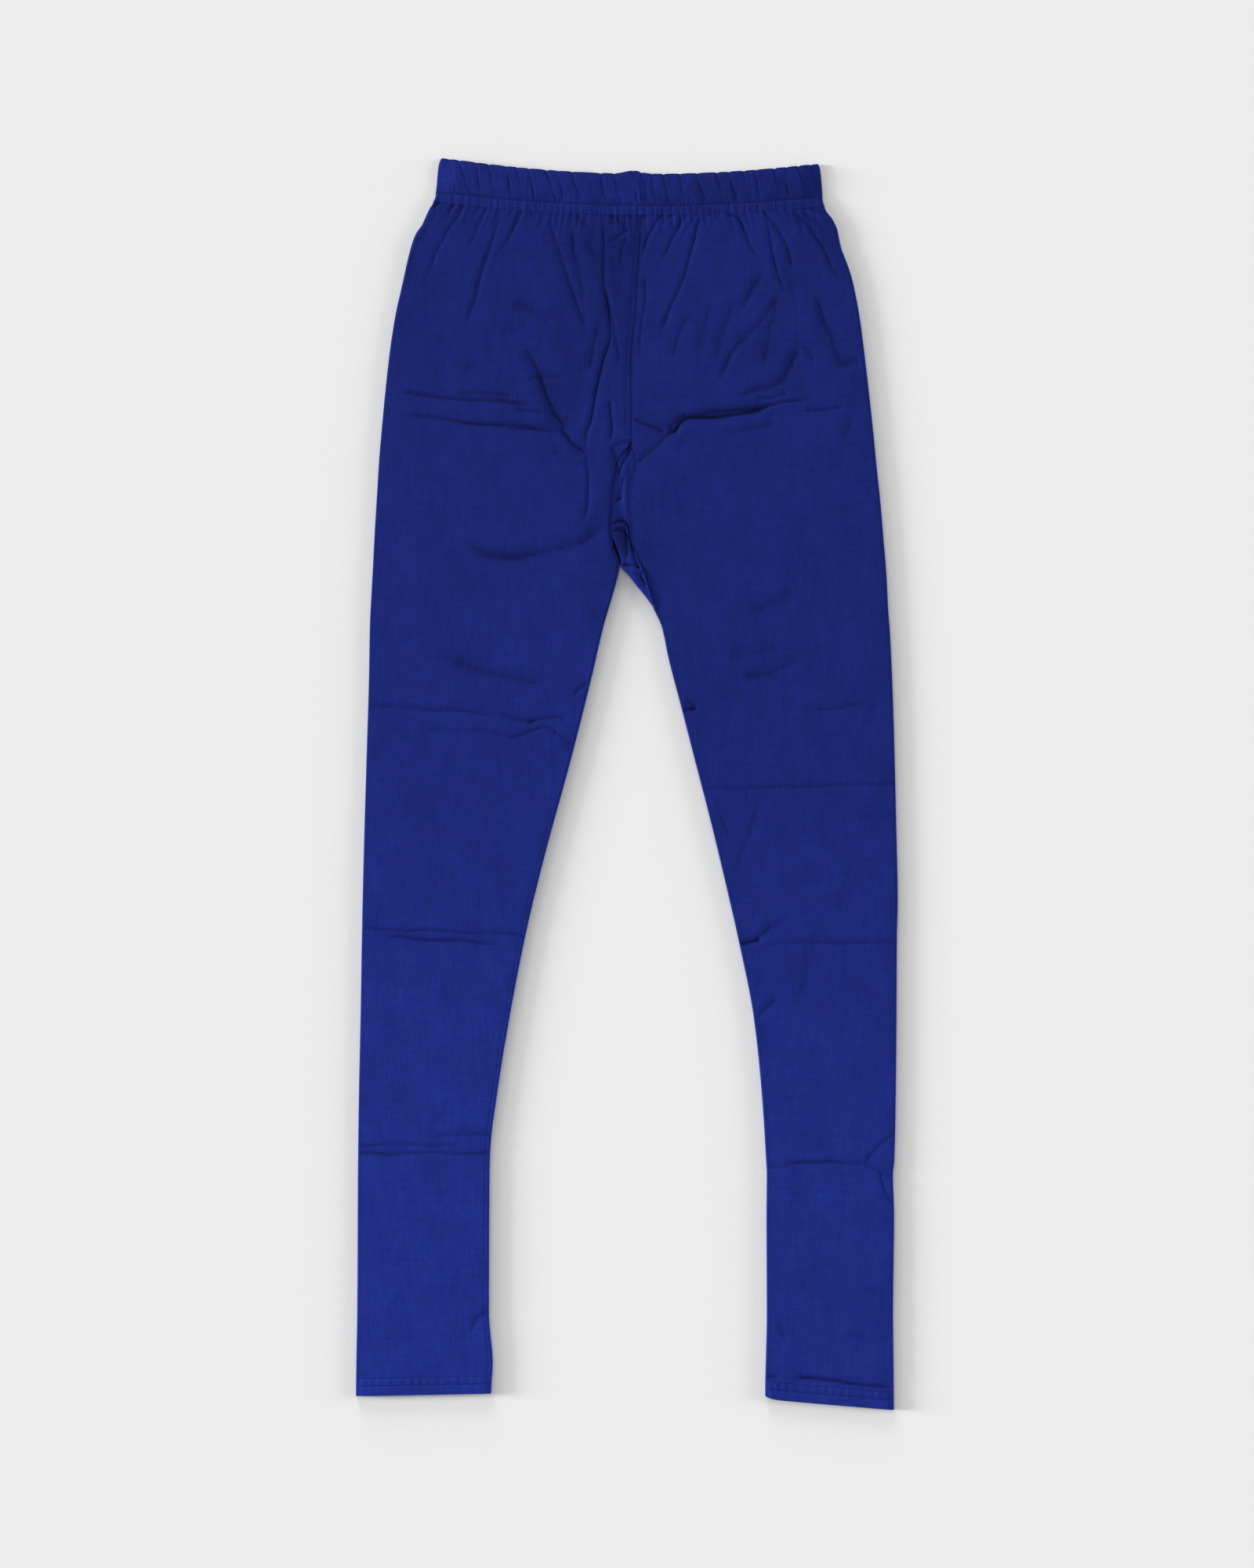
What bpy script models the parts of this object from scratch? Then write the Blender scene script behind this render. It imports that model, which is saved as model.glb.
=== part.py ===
"""Jersey leggings laid flat with the front up, modelled at real size.

Frame: +X is to the right of someone who looks down on them, +Y runs from the hems to the waist, +Z is up.
The origin is under the middle of the outline, on the surface that the leggings lie on.
The tables and sizes below are in millimetres; the meshes are made in metres.
Every piece is one wall of cloth that wraps round: front layer, bend at the side, back layer.
"""
import math

import bmesh
import bpy
import numpy as np
from mathutils import Vector

MM = 0.001

# Cloth
CLOTH = 1.2             # wall of one layer of jersey
SEAM_GAP = 0.3          # between two pieces that are sewn together
BEND = 1.8              # how far the bend at a side fold reaches in from the outline
EDGE_HEIGHT = 3.4       # height of the two layers at a side fold
FRONT_HEIGHT = 4.3      # height of the front layer away from its edges
SEAM_HEIGHT = 3.7       # height of the front layer at the centre seam
EDGE_ROUNDING = 14.0    # distance over which the front rises from its edge
LEAST_HOLLOW = 0.4      # least gap between the two layers
BEND_STEPS = 3          # flat faces round a bend
LEG_BACK_STEPS = 4      # columns of faces across the back of a leg

# Distances over which a leg's shape changes
CROTCH_DRAW = 22.0      # its inner edge draws in above the crotch
SEAM_DROP = 60.0        # the front sinks beside the seam on its way down to the crotch
GATHER_FAN = 140.0      # the gathers spread from the casing to the hip
WAIST_FIT = 80.0        # rows follow the foot of the casing
HEM_FIT = 60.0          # rows follow the slant of the hem
CREASE_EDGE = 8.0       # creases fade towards an edge
HEM_EDGE = 4.0          # the hem's extra cloth fades towards an edge

# Waistband casing: two layers with the elastic between them make each of its walls
WAIST_HALF_WIDTH = 158.0
CASING_WALL = 2.2
CASING_HOLLOW = 0.8
CASING_BEND = 2.8
CASING_GATHERS = 29
CASING_BACK_STEPS = 12  # columns of faces across the back of the casing
GATHER_RISE = 0.55
GATHER_LEAN = 8.0       # the foot of a casing gather lies this far to the side of its top
SCALLOP = 0.5           # a gather lifts the top edge by this much
UNEVEN = 0.22           # how much one gather differs from the next
FLAT_FOOT = 0.12        # share of the casing over which the gathers grow from its foot
FLAT_TOP = 0.08         # share over which they shrink to its top edge
FLAT_SIDE = 0.03        # share of its width that stays plain at each side

# Hem: the cloth is turned up, so the band is higher
HEM_DEPTH = 16.0
HEM_RISE = 0.6

# Heights of lines that cross the whole front: middle, how far the ends rise, how far they tilt
WAIST_TOP = {"middle": 522.0, "sag": 10.9, "tilt": 1.9}
WAIST_FOOT = {"middle": 486.9, "sag": 5.6, "tilt": 2.3}

# Sections of the casing from foot to top: place up the casing, left and right edge, height of its front
CASING_SECTIONS = [
    # (place, left, right, height)
    (0.00, -170.0, 169.7, 4.9),
    (0.10, -167.6, 168.2, 5.6),
    (0.18, -165.0, 167.4, 5.6),
    (0.23, -164.0, 167.2, 4.8),
    (0.28, -163.4, 167.2, 5.5),
    (0.50, -162.2, 166.6, 6.1),
    (0.80, -161.0, 165.6, 6.0),
    (0.93, -159.8, 164.8, 5.6),
    (1.00, -158.4, 163.6, 4.8),
]

# Sections of the legs from waist to hem: height on the body, outer edge, and inner edge or centre seam
RIGHT_SECTIONS = [
    # (y, outer, inner)
    (489.0, -170.0, 12.2),
    (479.5, -174.0, 11.8),
    (463.0, -183.4, 10.8),
    (443.0, -188.1, 9.5),
    (402.0, -197.5, 7.0),
    (362.0, -203.5, 3.5),
    (295.0, -210.2, 3.5),
    (274.0, -211.9, -8.5),
    (246.0, -213.6, -12.9),
    (220.0, -215.2, -15.2),
    (201.5, -216.2, -11.6),
    (187.0, -216.9, -6.2),
    (174.5, -217.6, -8.5),
    (134.5, -219.6, -19.9),
    (94.0, -220.3, -29.3),
    (27.0, -222.3, -46.1),
    (-66.5, -225.0, -71.5),
    (-125.0, -226.3, -85.6),
    (-200.5, -227.6, -100.3),
    (-267.5, -229.0, -111.1),
    (-311.0, -229.6, -116.4),
    (-334.5, -229.8, -117.1),
    (-450.0, -230.4, -117.6),
    (-495.0, -231.2, -114.4),
    (-523.0, -231.5, -115.7),
]
LEFT_SECTIONS = [
    # (y, outer, inner)
    (489.0, 169.7, 12.2),
    (479.5, 176.4, 11.8),
    (463.0, 181.1, 10.8),
    (443.0, 188.4, 9.5),
    (402.0, 198.5, 7.0),
    (362.0, 203.8, 3.5),
    (295.0, 211.2, 3.5),
    (274.0, 213.2, 4.9),
    (242.0, 216.6, 0.2),
    (207.0, 219.6, 3.5),
    (187.0, 221.3, 12.2),
    (171.0, 222.3, 17.6),
    (162.5, 222.7, 20.4),
    (148.0, 223.4, 24.5),
    (134.5, 224.6, 30.0),
    (108.0, 226.0, 35.4),
    (67.5, 227.6, 46.0),
    (27.0, 228.8, 56.4),
    (-33.0, 230.2, 71.9),
    (-100.0, 231.5, 87.9),
    (-129.5, 230.8, 94.6),
    (-200.5, 230.4, 108.5),
    (-267.5, 229.8, 115.4),
    (-321.0, 228.6, 118.8),
    (-333.0, 227.4, 119.4),
    (-368.0, 228.4, 119.1),
    (-450.0, 227.5, 119.4),
    (-523.0, 228.2, 118.0),
]
RIGHT_HEM = {"y": -523.0, "slope": 0.018, "at": -173.0}
LEFT_HEM = {"y": -529.5, "slope": -0.096, "at": 173.0}
RIGHT_CROTCH = 187.0
LEFT_CROTCH = 162.5

# Gathers below the casing: place across the front at the seam and at the hip (0 is the centre seam,
# 1 the side), how far down it fades out, and how deep it is between its two ridges
RIGHT_GATHERS = [
    # (top, low, length, depth)
    (0.07, 0.04, 60.0, 0.8),
    (0.18, 0.10, 140.0, 1.5),
    (0.27, 0.18, 80.0, 1.1),
    (0.33, 0.26, 95.0, 1.0),
    (0.43, 0.35, 110.0, 1.4),
    (0.55, 0.49, 60.0, 1.0),
    (0.67, 0.66, 115.0, 1.5),
    (0.84, 0.86, 95.0, 1.2),
]
LEFT_GATHERS = [
    # (top, low, length, depth)
    (0.06, 0.03, 150.0, 1.0),
    (0.13, 0.08, 55.0, 1.1),
    (0.20, 0.15, 65.0, 1.0),
    (0.30, 0.24, 125.0, 1.5),
    (0.47, 0.43, 50.0, 1.2),
    (0.55, 0.58, 95.0, 1.5),
    (0.66, 0.72, 80.0, 1.3),
    (0.80, 0.87, 90.0, 1.4),
]

# Creases pressed or folded into the front: two ends, how far the middle bows to the left of the way
# from the first end to the second, depth, and half the width of the trough
CREASES = [
    # (x0, y0, x1, y1, bow, depth, width)
    (-187.0, 334.0, -81.0, 321.5, 2.0, 1.3, 5.0),
    (-205.5, 314.0, -65.5, 302.0, -1.0, 1.5, 5.0),
    (-81.0, 374.0, -36.5, 284.5, -6.0, 1.5, 7.0),
    (-12.0, 386.0, -34.5, 220.0, -7.0, 1.6, 6.0),
    (-124.5, 201.5, -15.0, 223.0, -12.0, 1.2, 8.0),
    (-165.0, 45.5, -46.5, 35.5, 4.0, 1.1, 5.0),
    (-220.0, 67.5, -52.0, 56.0, 2.0, 1.1, 5.0),
    (-226.5, -125.0, -86.0, -129.5, 1.0, 1.3, 5.0),
    (-196.0, -134.0, -128.0, -139.0, -2.0, 0.8, 4.0),
    (-231.0, -308.5, -116.5, -309.0, 0.0, 1.1, 3.5),
    (-231.0, -317.5, -121.0, -318.0, 0.0, 1.1, 3.5),
    (33.0, 296.0, 148.0, 326.0, 5.0, 1.9, 6.5),
    (155.0, 317.0, 184.0, 321.5, 0.0, 0.9, 5.0),
    (60.5, 398.0, 39.0, 352.0, 0.0, 1.0, 8.0),
    (140.0, 414.0, 118.0, 355.0, -3.0, 1.0, 8.0),
    (165.0, 414.0, 180.0, 361.0, 0.0, 1.0, 8.0),
    (153.0, 371.0, 127.0, 326.0, 3.0, 1.3, 8.0),
    (66.5, -5.0, 226.0, 2.0, 0.0, 1.0, 5.0),
    (46.0, 63.0, 66.0, 65.0, 0.0, 1.3, 5.0),
    (93.0, -139.0, 128.0, -123.0, -3.0, 1.5, 5.5),
    (114.0, -137.5, 231.0, -135.5, 0.0, 1.1, 5.0),
    (119.0, -322.0, 203.0, -325.0, 0.0, 1.3, 4.5),
    (200.0, -326.0, 230.0, -301.0, -2.0, 1.1, 4.5),
    (200.0, -324.0, 226.0, -356.0, 5.0, 1.1, 4.5),
]
CREASE_TAPER = 0.18     # share of a crease's length over which each end fades
TROUGH_SHARE = 0.5      # a gather's trough lies this share of its depth under the plain front
RIDGE_SHARE = 0.9       # and its ridges stand this share over it
PUFF_SHARE = 0.75       # a crease's two ridges stand this share of its depth
PUFF_OFFSET = 1.9       # and this many half-widths from its middle

# Gusset: one small piece between the legs, folded along its lower left edge.
# Its rows are rows of both legs too, so that the seams run side by side.
GUSSET_ROWS = [290.0, 282.0, 274.0, 260.0, 242.0, 224.0, 207.0, 197.0, 187.0, 180.0, 172.0, 165.5]
GUSSET_FOLD_EDGE = [
    # (y, x)
    (187.0, -5.9),
    (180.0, 2.2),
    (172.0, 9.6),
    (165.5, 14.4),
]
GUSSET_HEIGHT = 3.3
GUSSET_FOLD = 0.5       # rise and dip of its bunched cloth
GUSSET_FOLDS = 3
GUSSET_COLUMNS = 6

# Rows of faces down a leg, above and below those of the gusset: where a stretch ends, and its rows
ROWS_TO_GUSSET = [
    # (y, rows)
    (484.0, 1), (345.0, 12), (295.0, 9),
]
RIGHT_ROWS = [
    # (y, rows)
    (80.0, 4), (22.0, 7), (-112.0, 4), (-150.0, 7), (-296.0, 4), (-328.0, 8), (-499.0, 5),
    (-507.0, 1), (-508.5, 1), (-523.0, 1),
]
LEFT_ROWS = [
    # (y, rows)
    (162.5, 1), (76.0, 4), (50.0, 3), (-14.0, 5), (-114.0, 3), (-150.0, 7), (-296.0, 4),
    (-360.0, 9), (-499.0, 5), (-507.0, 1), (-508.5, 1), (-523.0, 1),
]


def through(table, y, column):
    """Smooth value of one column of a table whose rows run down in y."""
    rows = sorted(table)
    places = [row[0] for row in rows]
    values = [row[column] for row in rows]
    y = min(max(y, places[0]), places[-1])
    k = min(max(int(np.searchsorted(places, y)), 1), len(rows) - 1)
    span = places[k] - places[k - 1]
    t = (y - places[k - 1]) / span

    def slope(i):
        if i in (0, len(rows) - 1):
            return 0.0
        before = (values[i] - values[i - 1]) / (places[i] - places[i - 1])
        after = (values[i + 1] - values[i]) / (places[i + 1] - places[i])
        if before * after <= 0.0:
            return 0.0
        return 2.0 * before * after / (before + after)

    hermite = (2 * t ** 3 - 3 * t ** 2 + 1) * values[k - 1] + (3 * t ** 2 - 2 * t ** 3) * values[k]
    tangents = (t ** 3 - 2 * t ** 2 + t) * slope(k - 1) + (t ** 3 - t ** 2) * slope(k)
    return hermite + tangents * span


def ease(t):
    """0 to 1 with level ends."""
    t = min(max(t, 0.0), 1.0)
    return t * t * (3.0 - 2.0 * t)


def sagging(line, x):
    """Height of a line across the front that rises towards both sides."""
    across = x / WAIST_HALF_WIDTH
    return line["middle"] + line["sag"] * across ** 2 - line["tilt"] * across


def crease_height(x, y):
    """Sum of all creases at a point of the front."""
    total = 0.0
    for x0, y0, x1, y1, bow, depth, width in CREASES:
        length = math.hypot(x1 - x0, y1 - y0)
        along_x = (x1 - x0) / length
        along_y = (y1 - y0) / length
        t = ((x - x0) * along_x + (y - y0) * along_y) / length
        if t <= 0.0 or t >= 1.0:
            continue
        across = (y - y0) * along_x - (x - x0) * along_y - 4.0 * bow * t * (1.0 - t)
        taper = ease(min(t, 1.0 - t) / CREASE_TAPER)
        trough = math.exp(-(across / width) ** 2)
        ridges = sum(math.exp(-((across + s * PUFF_OFFSET * width) / width) ** 2) for s in (-1, 1))
        total += depth * taper * (PUFF_SHARE * ridges - trough)
    return total


def leg_columns(gathers):
    """Columns of the front from the centre seam to the side: top place, low place, length, signed rise.

    Each gather has a column in its trough, and the columns between two gathers are their ridges.
    """
    columns = []
    before = (0.0, 0.0, gathers[0][2], 0.0)
    for gather in gathers:
        top, low, length, depth = gather
        ridge = RIDGE_SHARE * 0.5 * (before[3] + depth)
        columns.append((0.5 * (before[0] + top), 0.5 * (before[1] + low), length, ridge))
        columns.append((top, low, length, -TROUGH_SHARE * depth))
        before = gather
    columns[0] = (0.0, 0.0, gathers[0][2], 0.0)
    last_ridge = 0.5 * RIDGE_SHARE * before[3]
    columns.append((0.5 * (before[0] + 1.0), 0.5 * (before[1] + 1.0), before[2], last_ridge))
    columns.append((1.0, 1.0, before[2], 0.0))
    return columns


def row_heights(top, rows_below_gusset):
    """Heights of the rows, from the top of a leg down."""
    rows = [top]
    for y, count in ROWS_TO_GUSSET + [(y, 1) for y in GUSSET_ROWS] + rows_below_gusset:
        start = rows[-1]
        rows += [start + (y - start) * (k + 1) / count for k in range(count)]
    return rows


def fitted_y(y, x, sections, hem):
    """A row's height at x: rows near the waist follow the casing, and rows near the hem its slant."""
    top = sections[0][0]
    foot = sections[-1][0]
    near_top = ease(1.0 - (top - y) / WAIST_FIT)
    near_foot = ease(1.0 - (y - foot) / HEM_FIT)
    at_top = sagging(WAIST_FOOT, x) - SEAM_GAP - top
    at_foot = hem["y"] + hem["slope"] * (x - hem["at"]) - foot
    return y + near_top * at_top + near_foot * at_foot


def bend(edge, inward, height, wall, reach):
    """Points round the bend at a side fold, outside and inside, from the front layer to the back.

    inward is the sign of X from the fold to the cloth.
    """
    outside = []
    inside = []
    for k in range(BEND_STEPS + 1):
        turn = math.pi * (0.5 - k / BEND_STEPS)
        centre = edge + inward * reach
        middle = 0.5 * height
        outside.append((centre - inward * reach * math.cos(turn), middle * (1.0 + math.sin(turn))))
        inside.append((centre - inward * (reach - wall) * math.cos(turn),
                       middle + (middle - wall) * math.sin(turn)))
    return outside, inside


def across_back(start, end, wall, steps):
    """Points of the flat back between two bends, outside and inside, with both ends left out."""
    places = [start + (end - start) * k / steps for k in range(1, steps)]
    return [(x, 0.0) for x in places], [(x, wall) for x in places]


def make_wall(name, outside, inside, present, round_the_end):
    """Close a grid of outer points and one of inner points into a single wall of cloth.

    present(row, column) says whether the wall has a face from that row and column to the next.
    With round_the_end the last column meets the first.
    """
    rows = len(outside)
    columns = len(outside[0])
    mesh = bmesh.new()
    made = {}

    def point(side, row, column):
        column %= columns
        key = (side, row, column)
        if key not in made:
            grid = outside if side == "outside" else inside
            made[key] = mesh.verts.new(Vector(grid[row][column]) * MM)
        return made[key]

    def is_present(row, column):
        if not 0 <= row < rows - 1:
            return False
        if not round_the_end and not 0 <= column < columns - 1:
            return False
        return present(row, column % columns)

    for row in range(rows - 1):
        for column in range(columns if round_the_end else columns - 1):
            if not is_present(row, column):
                continue
            corners = [(row, column), (row, column + 1), (row + 1, column + 1), (row + 1, column)]
            mesh.faces.new([point("outside", *corner) for corner in corners])
            mesh.faces.new([point("inside", *corner) for corner in reversed(corners)])
            beside = [(row - 1, column), (row, column + 1), (row + 1, column), (row, column - 1)]
            for k, neighbour in enumerate(beside):
                if not is_present(*neighbour):
                    start = corners[k]
                    end = corners[(k + 1) % 4]
                    mesh.faces.new([point("outside", *end), point("outside", *start),
                                    point("inside", *start), point("inside", *end)])
    bmesh.ops.recalc_face_normals(mesh, faces=mesh.faces)
    data = bpy.data.meshes.new(name)
    mesh.to_mesh(data)
    mesh.free()
    data.shade_smooth()
    data.set_sharp_from_angle(angle=math.radians(50.0))
    piece = bpy.data.objects.new(name, data)
    bpy.context.collection.objects.link(piece)
    return piece


def jersey(name, colour):
    """Matt dyed cotton jersey."""
    material = bpy.data.materials.new(name)
    material.use_nodes = True
    shader = material.node_tree.nodes["Principled BSDF"]
    shader.inputs["Base Color"].default_value = (*colour, 1.0)
    shader.inputs["Roughness"].default_value = 0.9
    shader.inputs["Metallic"].default_value = 0.0
    return material


def open_edge(sections, crotch, inward, y):
    """Inner edge of a leg above the crotch, where it opens onto the seam.

    It draws in by the reach of the bend as it comes to the crotch, where the inner bend starts.
    """
    drawn_in = BEND * ease(1.0 - (y - crotch) / CROTCH_DRAW)
    return through(sections, y, 2) + inward * (0.5 * SEAM_GAP + drawn_in)


def front_height(x, y, column, outer, inner, crotch):
    """Height of the outside of the front layer of a leg."""
    length, rise = column[2:]
    inner_height = EDGE_HEIGHT + (SEAM_HEIGHT - EDGE_HEIGHT) * ease((y - crotch) / SEAM_DROP)
    from_outer = math.exp(-abs(x - outer) / EDGE_ROUNDING)
    from_inner = math.exp(-abs(x - inner) / EDGE_ROUNDING)
    height = (FRONT_HEIGHT + (EDGE_HEIGHT - FRONT_HEIGHT) * from_outer
              + (inner_height - FRONT_HEIGHT) * from_inner)
    waist = sagging(WAIST_FOOT, x)
    height += rise * ease(1.0 - (waist - y) / length)
    away_from_edges = ease(min(abs(x - outer), abs(x - inner)) / CREASE_EDGE)
    height += crease_height(x, y) * away_from_edges
    return max(height, 2.0 * CLOTH + LEAST_HOLLOW)


def make_leg(name, sections, gathers, row_table, hem, crotch, inward):
    """One leg cut in one piece: a tube below the crotch, open at the centre seams above it.

    inward is the sign of X from the centre seam to the leg's own cloth.
    """
    columns = leg_columns(gathers)
    heights = row_heights(sections[0][0], row_table)
    outside = []
    inside = []
    for y in heights:
        outer = through(sections, y, 1)
        if y > crotch:
            inner = open_edge(sections, crotch, inward, y)
        else:
            inner = through(sections, y, 2) + inward * (0.5 * SEAM_GAP + BEND)
        fold_start = outer - inward * BEND
        spread = ease((sections[0][0] - y) / GATHER_FAN)
        hem_rise = HEM_RISE if y < sections[-1][0] + HEM_DEPTH else 0.0
        outer_ring = []
        inner_ring = []
        for column in columns:
            place = column[0] + (column[1] - column[0]) * spread
            x = inner + (fold_start - inner) * place
            height = front_height(x, y, column, fold_start, inner, crotch)
            turned_up = hem_rise * ease(min(abs(x - fold_start), abs(x - inner)) / HEM_EDGE)
            outer_ring.append((x, height + turned_up))
            inner_ring.append((x, height - CLOTH))
        side_out, side_in = bend(outer, -inward, EDGE_HEIGHT, CLOTH, BEND)
        back_out, back_in = across_back(fold_start, inner, CLOTH, LEG_BACK_STEPS)
        outer_ring += side_out[1:] + back_out + [(inner, 0.0)]
        inner_ring += side_in[1:] + back_in + [(inner, CLOTH)]
        crotch_out, crotch_in = bend(inner - inward * BEND, inward, EDGE_HEIGHT, CLOTH, BEND)
        outer_ring += reversed(crotch_out[1:-1])
        inner_ring += reversed(crotch_in[1:-1])
        outside.append([(x, fitted_y(y, x, sections, hem), z) for x, z in outer_ring])
        inside.append([(x, fitted_y(y, x, sections, hem), z) for x, z in inner_ring])
    last_back = len(columns) - 1 + BEND_STEPS + LEG_BACK_STEPS

    def present(row, column):
        return column < last_back or heights[row] <= crotch

    return make_wall(name, outside, inside, present, round_the_end=True)


def make_waistband():
    """Casing with the elastic in it: a flattened band, gathered on its front."""
    steps = 2 * CASING_GATHERS
    outside = []
    inside = []
    for place, left, right, height in CASING_SECTIONS:
        outer_ring = []
        inner_ring = []
        ends_in = ease(place / FLAT_FOOT) * ease(0.4 + (1.0 - place) / FLAT_TOP)
        for k in range(steps + 1):
            share = k / steps
            uneven = UNEVEN * (math.sin(9.0 * share + 1.3) + math.sin(23.0 * share))
            lean = GATHER_LEAN * (0.5 - place) * math.sin(math.pi * share)
            x = left + CASING_BEND + (right - left - 2.0 * CASING_BEND) * share + lean
            ridge = math.cos(math.pi * k) * (1.0 - UNEVEN + uneven)
            near_side = ease(min(share, 1.0 - share) / FLAT_SIDE)
            side_height = 2.0 * CASING_BEND
            z = side_height + (height - side_height) * near_side
            outer_ring.append((x, z + GATHER_RISE * ridge * ends_in * near_side, SCALLOP * ridge * place))
            inner_ring.append((x, CASING_WALL + CASING_HOLLOW, SCALLOP * ridge * place))
        first = bend(left, 1.0, 2.0 * CASING_BEND, CASING_WALL, CASING_BEND)
        second = bend(right, -1.0, 2.0 * CASING_BEND, CASING_WALL, CASING_BEND)
        inner_ring[0] = (*first[1][0], 0.0)
        inner_ring[-1] = (*second[1][0], 0.0)
        back = across_back(right - CASING_BEND, left + CASING_BEND, CASING_WALL, CASING_BACK_STEPS)
        for ring, side in ((outer_ring, 0), (inner_ring, 1)):
            round_the_back = second[side][1:] + back[side] + first[side][:0:-1]
            ring += [(x, z, 0.0) for x, z in round_the_back]
        for ring, grid in ((outer_ring, outside), (inner_ring, inside)):
            points = []
            for x, z, lift in ring:
                foot = sagging(WAIST_FOOT, x)
                y = foot + (sagging(WAIST_TOP, x) - foot) * place + lift
                points.append((x, y, z))
            grid.append(points)
    return make_wall("waistband", outside, inside, lambda row, column: True, round_the_end=True)


def make_gusset():
    """Small piece at the crotch: folded along its lower edge, open to the two seams above."""
    outside = []
    inside = []
    for y in GUSSET_ROWS:
        start = open_edge(LEFT_SECTIONS, LEFT_CROTCH, 1.0, y) - SEAM_GAP
        if y > RIGHT_CROTCH:
            end = open_edge(RIGHT_SECTIONS, RIGHT_CROTCH, -1.0, y) + SEAM_GAP
        else:
            end = through(GUSSET_FOLD_EDGE, y, 1) + BEND
        outer_ring = []
        inner_ring = []
        for k in range(GUSSET_COLUMNS + 1):
            share = k / GUSSET_COLUMNS
            bunch = GUSSET_FOLD * math.sin(GUSSET_FOLDS * math.pi * share)
            x = start + (end - start) * share
            outer_ring.append((x, GUSSET_HEIGHT + bunch))
            inner_ring.append((x, GUSSET_HEIGHT + bunch - CLOTH))
        fold_out, fold_in = bend(end - BEND, 1.0, GUSSET_HEIGHT, CLOTH, BEND)
        outer_ring += fold_out[1:]
        inner_ring += fold_in[1:]
        outer_ring.append((start, 0.0))
        inner_ring.append((start, CLOTH))
        outside.append([(x, y, z) for x, z in outer_ring])
        inside.append([(x, y, z) for x, z in inner_ring])

    def present(row, column):
        in_fold = GUSSET_COLUMNS <= column < GUSSET_COLUMNS + BEND_STEPS
        return not in_fold or GUSSET_ROWS[row] <= RIGHT_CROTCH

    return make_wall("gusset", outside, inside, present, round_the_end=False)


def main():
    for thing in list(bpy.data.objects):
        bpy.data.objects.remove(thing)
    pieces = [
        (make_leg("right_leg", RIGHT_SECTIONS, RIGHT_GATHERS, RIGHT_ROWS, RIGHT_HEM, RIGHT_CROTCH, -1.0),
         (0.0130, 0.0240, 0.1900)),
        (make_leg("left_leg", LEFT_SECTIONS, LEFT_GATHERS, LEFT_ROWS, LEFT_HEM, LEFT_CROTCH, 1.0),
         (0.0125, 0.0230, 0.1850)),
        (make_waistband(), (0.0110, 0.0200, 0.1500)),
        (make_gusset(), (0.0100, 0.0180, 0.1400)),
    ]
    for piece, colour in pieces:
        piece.data.materials.append(jersey(piece.name + "_jersey", colour))


main()
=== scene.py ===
# Looks of the jersey leggings: fine shells of cloth, their creases, the sewing, the dye with painted light
# and shade on it, and the studio.
#
# Frame: +X is to the right of someone who looks down on the front, +Y from the hems to the waist, +Z up.
# Tables and sizes are in millimetres, and meshes are made in metres.
import math

import bmesh
import bpy
import numpy as np
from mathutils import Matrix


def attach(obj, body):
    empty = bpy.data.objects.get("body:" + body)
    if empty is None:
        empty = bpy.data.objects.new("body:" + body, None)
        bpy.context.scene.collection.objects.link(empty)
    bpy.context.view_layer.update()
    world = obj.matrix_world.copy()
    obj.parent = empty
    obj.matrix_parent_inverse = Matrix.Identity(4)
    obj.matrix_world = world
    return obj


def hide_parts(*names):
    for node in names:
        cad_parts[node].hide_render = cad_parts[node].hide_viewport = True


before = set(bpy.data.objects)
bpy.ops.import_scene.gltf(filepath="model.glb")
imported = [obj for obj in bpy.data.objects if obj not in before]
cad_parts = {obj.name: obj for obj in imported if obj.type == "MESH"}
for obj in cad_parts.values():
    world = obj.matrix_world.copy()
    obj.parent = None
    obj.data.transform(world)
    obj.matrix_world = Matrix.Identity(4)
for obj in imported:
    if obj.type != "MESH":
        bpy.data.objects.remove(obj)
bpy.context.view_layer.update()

MM = 0.001

# Cloth
CLOTH = 1.2  # wall of one layer of jersey
SEAM_GAP = 0.16  # between two pieces that are sewn together
LAP = 2.2  # a seam leans by this much from the front to the back, so nothing shows through it
LAP_REACH = 14.0  # and the cloth beside it leans along
BEND = 1.8  # how far the bend at a side fold reaches in from the outline
EDGE_HEIGHT = 4.1  # height of the two layers at a side fold
INSEAM_HEIGHT = 4.6  # and at the inner edge below the crotch, where the turnings of the inseam lift it
FRONT_HEIGHT = 4.6  # height of the front layer away from its edges
SEAM_HEIGHT = 3.9  # height of the front layer at the centre seam
LEAST_HEIGHT = 2.8  # no crease goes lower than this
HOLLOW_HEIGHT = 1.9  # height of the inside of the front layer, out of sight
EDGE_ROUNDING = 12.0  # distance over which the front rises from its edge
CROTCH_DRAW = 22.0  # the inner edge of a leg draws in over this length above the crotch
CROTCH_STEP = 20.0  # the inner edge rises from SEAM_HEIGHT to INSEAM_HEIGHT over this length
WAVE_INSET = 20.0  # the broad waves of the cloth die out over this distance to an edge
WAIST_FIT = 80.0  # rows follow the foot of the casing over this length
HEM_FIT = 60.0  # and the slant of the hem over this one

# Mesh of a leg
LEG_ROWS = 480
FRONT_COLUMNS = 156
BACK_COLUMNS = 24
BEND_STEPS = 5
HOLLOW_STEP = 13  # the inside of a leg has one row for this many on the outside
DENSE_ROWS = [
    # (y, half the height of the band, how much closer its rows lie)
    (472.0, 22.0, 0.9), (318.0, 26.0, 1.6), (55.0, 20.0, 1.1), (0.0, 8.0, 1.2),
    (-130.0, 14.0, 1.8), (-313.0, 18.0, 1.6), (-517.0, 16.0, 2.2),
]
DENSE_MIDDLE = 0.9  # columns lie this much closer at the centre seam
DENSE_REACH = 0.32  # over this share of the front
SHARP_ANGLE = 45.0  # in degrees: an edge that turns by more is shaded as a sharp one

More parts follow.
